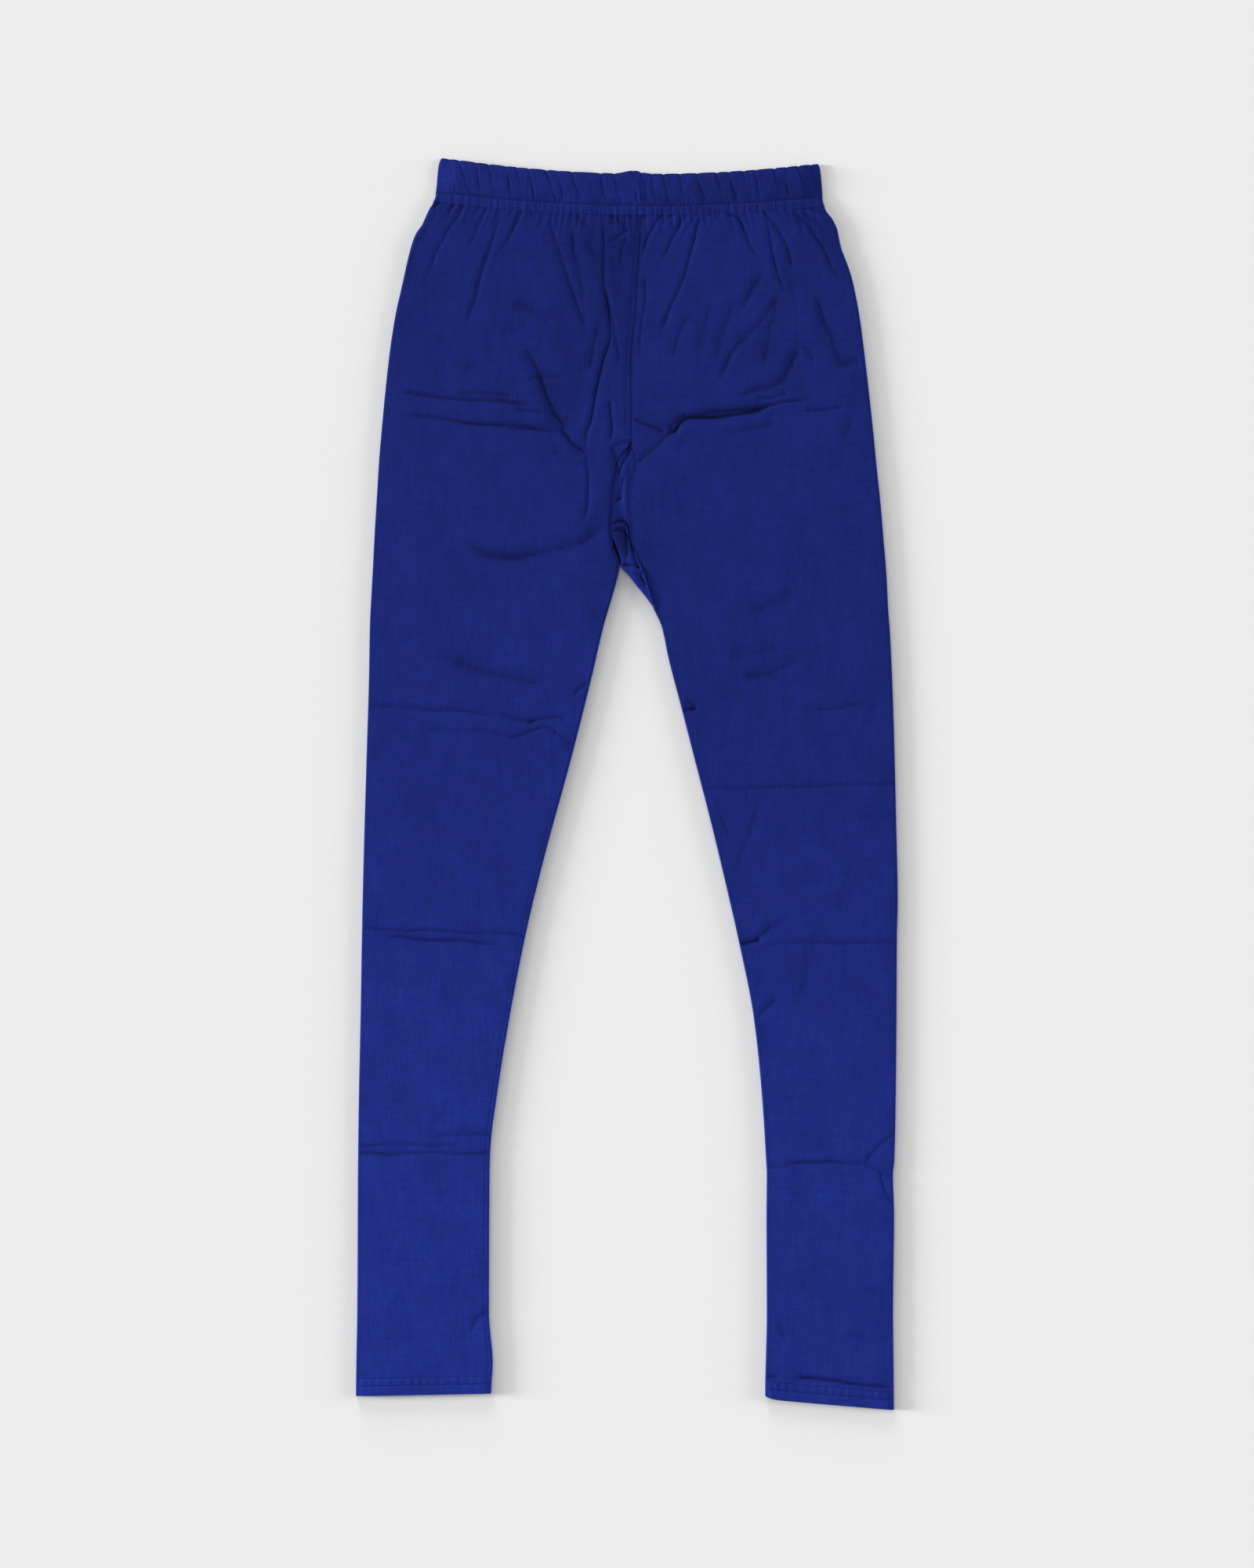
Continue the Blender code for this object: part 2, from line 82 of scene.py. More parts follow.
# Sewing on a leg
INSEAM_INSET = 3.4  # the inseam lies this far in from the inner edge
INSEAM_DEPTH = 0.2
INSEAM_WIDTH = 1.2
# painted shade along the inseam
INSEAM_SHADE = 0.1
INSEAM_FADE = 60.0  # it begins to show over this length
SEAM_WIDTH = 1.1  # the centre seam and the seams of the gusset show as a line of painted shade of half this width
SEAM_SHADE = 0.7
SEAM_FADE = 25.0  # over this length below the crotch the painted line gives way to the painted shade of an edge
BAND_EDGE_SHADE = 0.3  # painted shade makes the bends at the casing's ends darker than its front
EDGE_SHADE_REACH = 0.9
CASING_SHADE = 0.45  # painted shadow: the cloth just below the casing lies in its shade, painted as dark spots
CASING_SHADE_REACH = 4.5
HEM_DEPTH = 16.0  # the cloth is turned up this far
HEM_RISE = 0.5
HEM_STEP = 0.8  # and over this length its end shows as a step
HEM_ROWS = (15.2, 8.6)  # the two rows of stitches above the hem's edge
HEM_GROOVE = 0.35  # they draw the cloth down
HEM_GROOVE_WIDTH = 0.9
HEM_RIPPLE = 0.14  # the cloth between them ripples
HEM_STITCH_INSET = 3.0
TOPSTITCHES = (484.0, 296.0)  # the row beside the centre seam, on the right leg: top and foot
TOPSTITCH_INSET = 5.5
GUSSET_STITCHES = (284.0, 192.0)  # the rows beside the gusset
GUSSET_STITCH_INSET = 1.6
STITCH_LIFT = 0.1  # the middle of a thread lies this far above the cloth

# Heights of lines that cross the whole front: middle, how far the ends rise, how far they tilt
WAIST_HALF_WIDTH = 158.0
WAIST_TOP = {"middle": 521.2, "sag": 10.9, "tilt": 2.8}
WAIST_FOOT = {"middle": 486.4, "sag": 8.2, "tilt": 2.2}

# Casing: place up the casing, left and right edge, height of its front
CASING_SECTIONS = [
    # (place, left, right, height)
    (0.00, -165.6, 169.2, 4.6),
    (0.10, -163.9, 168.0, 4.8),
    (0.18, -163.4, 167.4, 4.9),
    (0.23, -163.3, 167.2, 4.7),
    (0.28, -163.0, 167.2, 5.0),
    (0.50, -162.2, 166.6, 5.7),
    (0.80, -161.0, 165.6, 5.9),
    (0.93, -159.8, 164.8, 5.6),
    (1.00, -158.4, 163.6, 4.9),
]
CASING_ENDS = (-163.0, 167.0)
CASING_WALL = 1.2
CASING_HOLLOW = 0.6
CASING_BEND = 2.2
CASING_SIDE = 2.6  # height of the casing at its two ends
CASING_ROUNDING = 18.0  # distance over which the front rises from its ends
CASING_STITCHES = 0.23  # place of the stitch row
CASING_COLUMNS = 600
CASING_BACK_COLUMNS = 180
CASING_ROWS = 40
FINE_CASING = 0.34  # the rows lie closer below this place
FINE_CASING_ROWS = 18

SEAM_HUMP = {"x": 5.5, "height": 2.8, "reach": 9.0}  # the top edge rises over the centre seam

# Troughs between the gathers of the casing: x at its top edge and at its stitch row, and depth
CASING_TROUGHS = [
    # (top, foot, depth)
    (-152, -146, 0.6), (-143.9, -133.2, 0.9), (-129.2, -123.8, 0.7), (-119.1, -111.7, 0.8),
    (-103.7, -97.6, 0.9), (-93.6, -88.3, 0.6), (-84.3, -78.2, 0.8), (-69.5, -59.5, 1),
    (-59.5, -53.4, 0.7), (-47.4, -38.7, 0.9), (-23.3, -17.3, 1), (-12, -3.9, 0.6),
    (5, 9.5, 0.5), (12.2, 16.9, 0.9), (21, 25, 0.7), (31, 36.4, 0.9),
    (45, 50, 0.6), (59.1, 68.5, 1), (75.9, 83.9, 0.9), (85.3, 96, 0.9),
    (99.3, 106, 0.7), (109.4, 114.7, 0.7), (125.5, 131.5, 0.9), (136.2, 138.2, 0.8),
    (145.6, 154.3, 1), (157, 161.6, 0.7),
]

# Legs from waist to hem: height on the body, outer edge, and inner edge or centre seam
RIGHT_SECTIONS = [
    # (y, outer, inner)
    (489, -165.6, 12.2),
    (484, -168.3, 12),
    (479.5, -170.4, 11.8),
    (474.5, -172.6, 11.5),
    (469.5, -175, 11.2),
    (463, -180, 10.8),
    (455, -183.6, 10.3),
    (443, -187.4, 9.5),
    (430, -190.8, 8.7),
    (402, -197.5, 7),
    (362, -203.5, 3.5),
    (295, -210.2, 3.5),
    (274, -211.9, -8.5),
    (246, -213.6, -12.9),
    (220, -215.2, -15.2),
    (201.5, -216.2, -11.6),
    (187, -216.9, -6.2),
    (174.5, -217.6, -8.5),
    (134.5, -219.6, -19.9),
    (94, -220.3, -29.3),
    (27, -222.3, -46.1),
    (-66.5, -225, -71.5),
    (-125, -226.3, -85.6),
    (-200.5, -227.6, -100.3),
    (-267.5, -229, -111.1),
    (-311, -229.6, -116.4),
    (-334.5, -229.8, -117.1),
    (-450, -230.4, -117.6),
    (-495, -231.2, -114.4),
    (-523, -231.5, -115.7),
]
LEFT_SECTIONS = [
    # (y, outer, inner)
    (489, 169.2, 12.2),
    (484, 171.7, 12),
    (479.5, 175, 11.8),
    (474.5, 177.6, 11.5),
    (469.5, 179.9, 11.2),
    (463, 181.2, 10.8),
    (455, 183.1, 10.3),
    (443, 188.1, 9.5),
    (430, 192.7, 8.7),
    (402, 198.5, 7),
    (362, 203.8, 3.5),
    (295, 211.2, 3.5),
    (274, 213.2, 4.9),
    (242, 216.6, 0.2),
    (207, 219.6, 3.5),
    (187, 221.3, 12.2),
    (171, 222.3, 17.6),
    (162.5, 222.7, 19.6),
    (150.5, 223.3, 22.6),
    (142.5, 223.9, 26.5),
    (134.5, 224.6, 29.8),
    (108, 226, 35.4),
    (67.5, 227.6, 46),
    (27, 228.8, 56.4),
    (-33, 230.2, 71.9),
    (-100, 231.5, 87.9),
    (-129.5, 230.8, 94.6),
    (-200.5, 230.4, 108.5),
    (-267.5, 229.8, 115.4),
    (-321, 228.6, 118.8),
    (-333, 227.4, 119.4),
    (-368, 228.4, 119.1),
    (-450, 227.5, 119.4),
    (-523, 228.2, 118),
]
# The inseam shows on the front below inseam_from: on the right leg from the thigh down, on the left nowhere.
# edge_shade is the shade painted on the bends at the outer and the inner edge, heavier on the bends that
# face the low lamps from the west.
RIGHT_LEG = {"name": "right_leg_cloth", "sections": RIGHT_SECTIONS, "crotch": 187, "inward": -1,
             "inseam_from": 10, "edge_shade": (0.5, 0.1),
             "hem": {"y": -520.9, "slope": 0.020, "at": -173, "corner": -231.5, "lift": 0.0}}
LEFT_LEG = {"name": "left_leg_cloth", "sections": LEFT_SECTIONS, "crotch": 150.5, "inward": 1,
            "inseam_from": -600, "edge_shade": (0.1, 0.5),
            "hem": {"y": -529.3, "slope": -0.084, "at": 173, "corner": 118.5, "lift": 2.8}}
CORNER_REACH = 4.5  # the hem rises towards its corner over this length

# Creases of the front: two ends, how far the middle bows to the left of the way from the first end to
# the second, depth, and half the width of the trough
RIGHT_GATHERS = [
    # (x0, y0, x1, y1, bow, depth, width), from the casing down to the hip
    (-153.9, 499.5, -171, 487, -0.8, 1.3, 2.2),
    (-146, 496, -154, 485, 0, 0.7, 1.8),
    (-138, 496, -176, 421, -2.5, 0.9, 2.2),
    (-126, 494, -134, 482, 0, 0.6, 1.8),
    (-118, 493, -138.8, 451.1, -0.5, 0.7, 1.9),
    (-107, 493, -121, 440, -0.4, 1, 2),
    (-88, 491.5, -102.5, 450, -3, 0.8, 2),
    (-92, 482, -113.5, 442, -0.5, 0.6, 1.8),
    (-79.5, 491, -80.5, 483, 0, 0.9, 2),
    (-71.5, 491.5, -76.2, 470, 0, 0.8, 1.8),
    (-49, 489.5, -44.5, 448, 1.2, 0.9, 2.2),
    (-47.4, 472, -34, 383.7, 1.5, 1, 4.5),
    (-43, 486, -24, 465, 0.5, 0.9, 2),
    (-34, 463, -23, 444, 0, 1.1, 3.2),
    (1.5, 474, -18.6, 460.8, 0.5, 0.8, 1.8),
    (-13, 487, 2, 472.5, 0.9, 1.3, 2.3),
    (-15.5, 488, -9.5, 474, 0, 1.1, 3),
    (-4, 486, 7, 482.5, 1, 0.7, 2.6),
    (-1.2, 467, -5.5, 440, 0, 0.8, 2),
]
RIGHT_CREASES = [
    # (x0, y0, x1, y1, bow, depth, width), from the hip to the crotch
    (-117, 458, -136, 392, -0.7, 0.9, 2.2),
    (-98, 411.5, -64, 392, 2, 1.3, 5.5),
    (-108, 383.8, -84, 391, 0, 0.9, 5),
    (-76, 351, -50.7, 300, -1.7, 1, 7),
    (-63.5, 285.9, -38, 268.5, 0.9, 0.9, 5),
    (-14.5, 328.5, -14, 292, 0.6, 1.3, 2.4),
    (-13.8, 289.5, -9.8, 266, 1.5, 1, 2.2),
    (5, 294, -13.5, 288, 0.3, 0.9, 2),
    (-23, 395, -33, 352, 0, 1, 6),
    (-86, 345.4, -53, 347.2, 0.6, 0.7, 2.8),
    # across the hip
    (-150, 357.6, -118, 355.4, 0, 0.6, 2.4),
    (-146, 334.2, -95, 330, 1.5, 0.9, 4.5),
    (-95.6, 321.2, -70.2, 314.9, 0.6, 0.8, 3),
    (-150, 308, -52, 300, 0.5, 0.8, 5),
    # across the thigh
    (-152, 108, -66, 86, -4, 1.7, 7),
    (-236, 67.8, -101.7, 58.6, 0.8, 0.9, 2.8),
    (-109, 60.7, -77.6, 50.9, -0.7, 1, 3),
    (-84.9, 51, -50.1, 56.4, 2.7, 1, 3),
    (-172, 46.3, -97, 41.1, 2.1, 0.7, 3),
    (-102.3, 40.8, -76.9, 47.2, -1.6, 0.9, 3),
    (-80.9, 45.6, -58.1, 41.8, 4.3, 0.9, 3),
    (-65.5, 44.3, -44.4, 29.6, 1.9, 0.9, 3),
    (-45.4, 75, -32, 87.6, 1.2, 0.8, 3),
    # knee, calf and ankle
    (-250, -123.6, -60, -131.2, 1.8, 0.9, 2.6),
    (-212, -129.7, -105, -136.2, -0.2, 1.3, 3.6),
    (-250, -308.4, -140, -308.4, 0.7, 0.9, 3.2),
    (-164, -299.6, -108, -301.2, 1.3, 0.8, 3),
    (-250, -315.9, -100, -315, 0.3, 1, 2.8),
    (-108, -446, -133.2, -467.2, -5.4, 0.8, 2.6),
]
LEFT_GATHERS = [
    # (x0, y0, x1, y1, bow, depth, width), from the casing down to the hip
    (33, 487.5, 12.5, 446, -4.5, 1.1, 2.1),
    (42, 488, 26, 478, 0, 0.7, 1.8),
    (47, 488, 27, 443, 2.5, 1.2, 2.1),
    (52.5, 488.5, 43, 470, -0.5, 0.8, 1.8),
    (61, 488.5, 44, 463, 0, 0.8, 1.8),
    (73, 489, 62, 475, 0, 0.8, 1.8),
    (80, 489.5, 73, 480, 0, 0.7, 1.8),
    (96, 490, 106, 483.5, -0.5, 0.9, 2),
    (139.2, 430, 144.5, 413, -0.2, 0.7, 2.2),
    (141, 488, 155, 461, 0.5, 0.8, 2),
    (152, 492.5, 177, 485.5, 0.5, 1.1, 2.2),
    (149, 489, 171, 472, 1, 0.7, 2.2),
    (16.9, 434, 10.9, 352.9, -0.5, 0.9, 2.4),
]
LEFT_CREASES = [
    # (x0, y0, x1, y1, bow, depth, width), from the hip to the crotch
    (55.1, 402.5, 40, 362.3, -2.2, 1, 5),
    (116.5, 436, 98, 407, 0, 0.9, 3.2),
    (93, 413, 77, 366, -1.5, 1, 6),
    (128, 420, 115.5, 354, 1, 1, 6),
    (161, 418, 183.5, 355, 0.7, 1.4, 6),
    (178.5, 356.5, 199, 363, -0.6, 1, 3.5),
    (149, 375.5, 160, 359, 1.5, 0.9, 4),
    (72, 413, 60, 371, 2, 0.7, 5.5),
    (59.5, 396, 66.5, 370, 0, 0.6, 4),
    # across the hip
    (56, 316, 120, 323, -1, 1.7, 5.5),
    (138.5, 334.4, 112, 328, 0, 0.8, 2),
    (36, 300, 52, 317, 2, 1.4, 5),
    (150.6, 318.5, 186.7, 320.9, 0.4, 0.9, 4),
    (185.4, 294.6, 194.1, 316, -0.6, 0.7, 4),
    (85.3, 298, 128.5, 310.1, -0.9, 0.9, 5),
    (4.9, 313, 34, 300.5, -0.4, 1.2, 2.6),
    (7, 274.5, 34, 294.3, 0.3, 1.1, 2.8),
    (150.3, 195.7, 173, 191.8, 0.3, 0.6, 5),
    # across the thigh
    (98, 90, 150, 109.1, -3.1, 1.3, 6),
    (88, 112, 132, 118, -3, 0.9, 6),
    (42, 61.5, 61.5, 64.5, 0.6, 1.8, 2.8),
    (60, 67, 51, 72.5, 0.5, 0.9, 2.6),
    (148.9, 62.6, 204.5, 68.3, -0.7, 0.8, 4),
    (105, 146, 145, 164, -0.1, 0.9, 6),
    (50, -4.7, 245, 1, -0.3, 0.7, 2.4),
    (76.2, -10.6, 90.3, -48.1, -1.3, 0.6, 4),
    (112.4, -19, 88.3, -78.6, 1.9, 0.6, 4),
    # knee, calf and ankle
    (90, -135.8, 116, -132.6, -0.8, 2.2, 3.2),
    (108, -132.5, 126, -118.5, -1.5, 0.9, 4.5),
    (116.1, -130, 135.5, -114.4, -0.2, 0.6, 5),
    (112.1, -136.2, 250, -136, 0.7, 0.6, 2.5),
    (152.6, -138.6, 140.5, -189.5, 6.4, 0.6, 5),
    (127.5, -182.5, 112.1, -196.8, 0, 1, 3),
    (108, -322.7, 142.2, -323.9, -3, 0.8, 3),
    (134, -322.6, 206.5, -323.6, 0.3, 1.1, 2.8),
    (201.5, -326, 240, -292, 3.3, 0.8, 3),
    (201.5, -323.5, 238, -337, -1.9, 0.7, 3),
    (214.9, -327.8, 227.3, -360, -0.9, 0.7, 3),
    (129.1, -457.8, 136.5, -472.5, 0, 0.6, 3),
    (112, -504.8, 131, -506.3, 0, 1.1, 2.6),
]
LONG_CREASES = [
    # (depth, width, points along it), from the casing down to the crotch
    (1.05, 2.7, [(-67.5, 490), (-65.2, 478.9), (-56.8, 452), (-49.6, 429.3), (-42.7, 409.2), (-34, 380)]),
    (0.85, 2.2, [(-33, 488.8), (-25.3, 485.5), (-21.3, 480.9), (-19.5, 472.8), (-19.9, 428.6),
        (-14.9, 406.7), (-10.2, 386.4), (-6.5, 361.6), (-5.5, 352)]),
    (1.3, 2.8, [(-18.2, 430), (-17.3, 418.5), (-13.9, 383), (-20, 361.6), (-26, 336), (-30.8, 309.3),
        (-34.8, 298.3), (-34.7, 280.8)]),
    (0.9, 2.4, [(-34.8, 292), (-34.7, 280.8), (-32.7, 260.4), (-34, 235), (-36.3, 222.4)]),
    (1.8, 5.2, [(-86.5, 376), (-76.9, 355.6), (-71.8, 342.2), (-66.8, 328.8), (-62.5, 317.1),
        (-49, 300.5)]),
    (2, 3.6, [(-58, 304), (-52.1, 298.3), (-44.3, 288.8), (-34.3, 284.1)]),
    (1.4, 3.3, [(-196, 334.6), (-164, 330.5), (-138.8, 328), (-113.7, 327.1), (-97, 325.4), (-78, 323.6)]),
    (1.15, 3, [(-194, 315.2), (-164, 312.9), (-147.2, 310.4), (-130.5, 307.6), (-105.3, 306.8),
        (-88.6, 304.5), (-56, 301.4)]),
    (2.5, 7, [(-140, 205), (-118, 196), (-98, 193.4), (-69.5, 198.8), (-38.1, 206.8), (-24, 217.6),
        (-15, 227)]),
    (1.1, 2.2, [(68, 492), (60.5, 478.2), (57.8, 464.8), (53.8, 451.4), (49.6, 434.3), (40.4, 414.2),
        (33, 396), (28, 380.7)]),
    (1.2, 2.5, [(83, 491), (95.3, 482.2), (100.7, 472.8), (104.7, 460.8), (111, 449)]),
    (0.9, 2.1, [(105, 491.5), (116.7, 486.2), (121.4, 472.8), (124.8, 451.4), (129.2, 434.3),
        (134.5, 417)]),
    (1.1, 2.3, [(116.5, 493), (127.5, 475.5), (135.5, 462.1), (139.2, 451.1), (141.2, 439)]),
    (0.95, 2.3, [(131, 491.5), (144.9, 486.2), (154.3, 478.2), (161, 467.5), (167.7, 457.8), (174.4, 442.7),
        (183.5, 426)]),
    (1, 2.3, [(132, 423), (121, 405), (112.4, 392.5), (102.4, 382.4), (90.7, 369), (84, 355.6),
        (79.5, 342)]),
    (1.8, 5.2, [(95, 331.5), (110, 336.5), (124.2, 338.9), (133.2, 344.9), (138.2, 353.9), (144.3, 366.3),
        (151, 376.5)]),
    (2.6, 3.5, [(27, 293.6), (33, 297), (41.4, 301.8), (46.8, 309.3), (56, 313.2), (73.9, 313.2),
        (90.7, 315.4), (107.4, 317.9), (127, 323.8)]),
    (1.9, 2.3, [(139, -505.8), (150, -506.4), (162.7, -507.4), (176.9, -508.9), (188.3, -511),
        (199.6, -512.6), (211, -513.3), (232, -515.4)]),
    (1.3, 2.3, [(100, 317), (124.2, 323.4), (134.2, 326.3), (154, 327.6)]),
]
# share scales the depths of a table
GATHERS = {"table": RIGHT_GATHERS + LEFT_GATHERS, "start": 0.05, "end": 0.35, "share": 0.72}
CREASES = {"table": RIGHT_CREASES + LEFT_CREASES, "start": 0.15, "end": 0.15, "share": 1.0}
LONG_TAPER = 0.16  # a long crease fades at each end over this share of its length
TROUGH_SHARE = 0.34  # share of a crease's depth that is its wide trough
GROOVE_SHARE = 0.6  # share that is the narrow groove along its middle
GROOVE_WIDTH = 0.75  # half the width of the groove
PUFF_SHARE = 0.07  # the two ridges of a crease stand this share of its depth
PUFF_OFFSET = 2.1  # and this many half-widths from its middle
CREASE_REACH = 5.0  # a crease ends this many half-widths from its middle

# Painted shade where the cloth bulges away from the light and looks darker, lessened where a share is below
# zero: middle, reach across and down, share
SOFT_SHADE = [
    # (x, y, reach_x, reach_y, share)
    (-10, 456, 40, 32, 0.24),
    (-14, 405, 30, 60, 0.20),
    (168, 455, 22, 40, 0.14),
    (173, 466, 9, 11, 0.22),
    (137, 433, 6, 14, 0.20),
    (185, 360, 9, 6, 0.15),
    (-185, 430, 22, 60, 0.10),
    (150, 395, 40, 50, 0.08),
    (144, 430, 22, 90, 0.06),
    (-58, 378, 14, 22, 0.14),
    (-60, 328, 9, 14, 0.22),
    (-50, 335, 30, 40, 0.08),
    (-10, 205, 24, 50, 0.20),
    (17, 215, 9, 45, 0.16),
    (25, 300, 22, 30, 0.12),
    (60, 285, 20, 10, -0.14),
    (95, 240, 16, 22, -0.08),
]

# Fine gathers just below the casing
PUCKERS = [
    # (pitch, height, length)
    (6.3, 0.3, 32),
    (3.5, 0.16, 16),
]
PUCKER_LEAN = 0.003  # they fan out by this share of their place across for each mm below the casing
PUCKER_SHADE = 1.1  # shade painted in their troughs, for each mm of depth

# Creases of the back, which go across it, and the most that the back lifts off the ground at one
BACK_CREASES = [
    # (y at the outer edge, y at the inner one, depth, width)
    (421, 384, 0.3, 8),
    (331, 316, 0.4, 5),
    (298, 309, 0.3, 4),
    (198, 221, 0.3, 8),
    (65, 51, 0.5, 3.2),
    (1, -8, 0.3, 3),
    (-127, -136, 0.5, 3.2),
    (-310, -316, 0.5, 3.2),
]
BACK_LIFT = 0.5
BACK_GATHERS = {"pitch": 26, "height": 0.3, "length": 75.0}

# Gusset: one small piece between the legs, folded along its lower left edge
GUSSET_TOP = 290.0
GUSSET_FOOT = 150.7
GUSSET_FOLD_EDGE = [
    # (y, x)
    (187, -5.9),
    (182.7, -2.4),
    (178.7, 1.4),
    (170.6, 7.6),
    (162.6, 14.2),
    (154.6, 20.1),
    (150.7, 22.4),
]
GUSSET_HEIGHT = 3.3
GUSSET_RISE = 2.0  # it stands this much higher along its fold
GUSSET_HOLLOW = 212.0  # the shade painted in its hollow is darkest at this height on the body
# painted shade of the dark hollow inside the gusset
HOLLOW_SHADE = 0.6
GUSSET_ROWS = 110
GUSSET_COLUMNS = 32
GUSSET_CREASES = {"start": 0.12, "end": 0.12, "share": 1, "table": [
    # (x0, y0, x1, y1, bow, depth, width)
    (5, 289, -9.2, 263, 0, 0.8, 1.8),
    (-2, 262, -10, 240, 0.5, 0.6, 1.8),
    (-10.5, 242, -2.5, 245, 0, 1.2, 2.4),
    # the arch over the hollow
    (-14, 221, 3.5, 214, 7, 1.5, 1.8),
    (-13, 216, 2, 208, 5, 1.1, 1.8),
    (-3, 221, -1, 192, 1, 1.1, 2.4),
    # the slit beside the right leg
    (-15.2, 211, -5, 186.5, 0.8, 2.6, 1.7),
    (2, 218, 11.5, 182, -1.5, 1.5, 1.6),
    (-3.5, 188.5, 12, 184.5, 0.6, 1.3, 1.5),
    (6, 181, 16.5, 168, 1.2, 1, 1.5),
    (10.5, 182, 13.5, 172, 0, 0.8, 1.5),
]}

# Stitches: pitch, length of the thread that shows, half its thickness
CASING_STITCH = {"pitch": 3, "length": 2.3, "radius": 0.28}
SEAM_STITCH = {"pitch": 3, "length": 2.2, "radius": 0.25}
HEM_STITCH = {"pitch": 2.8, "length": 2.2, "radius": 0.25}

# Rows of stitches on the casing: the long one, and two short ones over its centre seam
CASING_LINES = [
    # (x0, x1, place0, place1, points)
    (-160.0, 163.0, CASING_STITCHES, CASING_STITCHES, 200),
    (9.0, 12.0, 0.93, 0.30, 20),
    (13.5, 16.5, 0.93, 0.30, 20),
]

# Colours, linear
JERSEY = (0.0092, 0.0196, 0.178)
BAND_JERSEY = (0.0078, 0.0165, 0.150)
THREAD = (0.007, 0.014, 0.115)
CLOTH_FINISH = {"Roughness": 0.85, "Specular IOR Level": 0.06, "Sheen Weight": 0.025,
                "Sheen Roughness": 0.45, "Sheen Tint": (0.25, 0.35, 1.0, 1.0)}
THREAD_FINISH = {"Roughness": 0.8, "Specular IOR Level": 0.06}
PAPER_FINISH = {"Base Color": (0.8, 0.8, 0.8, 1.0), "Roughness": 1.0, "Specular IOR Level": 0.0}
NOISE_RANGE = (0.3, 0.7)  # nearly all of a noise lies between these
BAR_CONTRAST = 0.07
PATCH_CONTRAST = 0.08
FOLD_SHADE = 0.6  # painted shade: how much darker the colour is painted at the bottom of a fold
DARKEST = 1.3  # the most painted fold shade that a point of a leg gets
DARKEST_BAND = 1.2
DARKEST_GUSSET = 1.5
SHADE_REACH = 0.52  # SHADES runs this far to both sides, in metres
SHADES = {
    # painted light: how much brighter or darker the colour is painted at heights on the body, brighter
    # towards the hems, or, for the band, at places across it, in metres
    "right": [(-0.52, 1.23), (-0.36, 1.21), (-0.25, 1.17), (-0.145, 1.10), (-0.04, 0.98), (0.07, 0.95),
              (0.18, 0.90), (0.30, 0.85), (0.42, 0.80), (0.52, 0.80)],
    "left": [(-0.52, 1.16), (-0.44, 1.10), (-0.36, 1.12), (-0.25, 1.08), (-0.145, 1), (-0.04, 0.93),
             (0.07, 0.86), (0.28, 0.83), (0.40, 0.81), (0.52, 0.82)],
    "band": [(-0.52, 1.1), (-0.17, 1.08), (0, 1), (0.06, 0.92), (0.17, 0.86), (0.52, 0.8)],
    "gusset": [(-0.52, 0.9), (0.52, 0.9)],
}

# Lights: compass direction that the light comes from (0 is +Y, 90 is +X), height above the horizon, how wide
# it is in degrees, and the share of the floor's light that it gives
LIGHTS = {
    "north": (-12, 13, 20, 0.12),
    "high_north": (-20, 55, 40, 0.08),
    "west": (-86, 9.5, 11, 0.26),
    "high_west": (-83, 21, 18, 0.10),
    "east": (84, 12.5, 20, 0.14),
}
FLOOR_LEVEL = 1.0475  # light on the floor
FLOOR_HALF = 20000.0
FLOOR_DROP = -0.2  # it lies just below the cloth

# Photograph's frame on the floor, in metres
FRAME_MIDDLE = (0.00017, 0.00047)
FRAME_HEIGHT = 1.34


def through(table, y, column):
    """Smooth values of one column of a table whose first column is y, for an array of y."""
    rows = np.array(sorted(table))
    places = rows[:, 0]
    values = rows[:, column]
    steps = np.diff(values) / np.diff(places)
    before, after = steps[:-1], steps[1:]
    same_way = before * after > 0.0
    slopes = np.zeros(len(rows))
    slopes[1:-1][same_way] = 2.0 * (before * after)[same_way] / (before + after)[same_way]
    y = np.clip(y, places[0], places[-1])
    k = np.clip(np.searchsorted(places, y), 1, len(rows) - 1)
    span = places[k] - places[k - 1]
    t = (y - places[k - 1]) / span
    level = (2 * t ** 3 - 3 * t ** 2 + 1) * values[k - 1] + (3 * t ** 2 - 2 * t ** 3) * values[k]
    return level + ((t ** 3 - 2 * t ** 2 + t) * slopes[k - 1] + (t ** 3 - t ** 2) * slopes[k]) * span


def ease(t):
    """0 to 1 with level ends."""
    t = np.clip(t, 0.0, 1.0)
    return t * t * (3.0 - 2.0 * t)


def near(apart, reach, power=2):
    """1 on a line and less beside it, for distances from it and a reach."""
    return np.exp(-np.abs(apart / reach) ** power)


def sagging(line, x):
    """Height of a line across the front that rises towards both sides."""
    across = x / WAIST_HALF_WIDTH
    return line["middle"] + line["sag"] * across ** 2 - line["tilt"] * across


def one_crease(apart, t, length, number, depth, width):
    """Height of a crease and the shade painted in it, for points apart from its middle and at t along it."""
    uneven = 0.85 + 0.15 * np.sin(t * length / 17.0 + 2.3 * number)
    groove = min(1.0, 3.2 / width) * near(apart, GROOVE_WIDTH + 0.08 * width, 1.3)
    trough = near(apart, width, 1.6)
    ridges = near(apart - PUFF_OFFSET * width, 1.2 * width)
    height = depth * uneven * (PUFF_SHARE * ridges - TROUGH_SHARE * trough - GROOVE_SHARE * groove)
    # the second row is the shade painted in the groove and the trough
    return np.stack([height, min(depth / 1.4, 1.6) * uneven * (0.7 * groove + 0.3 * trough)])


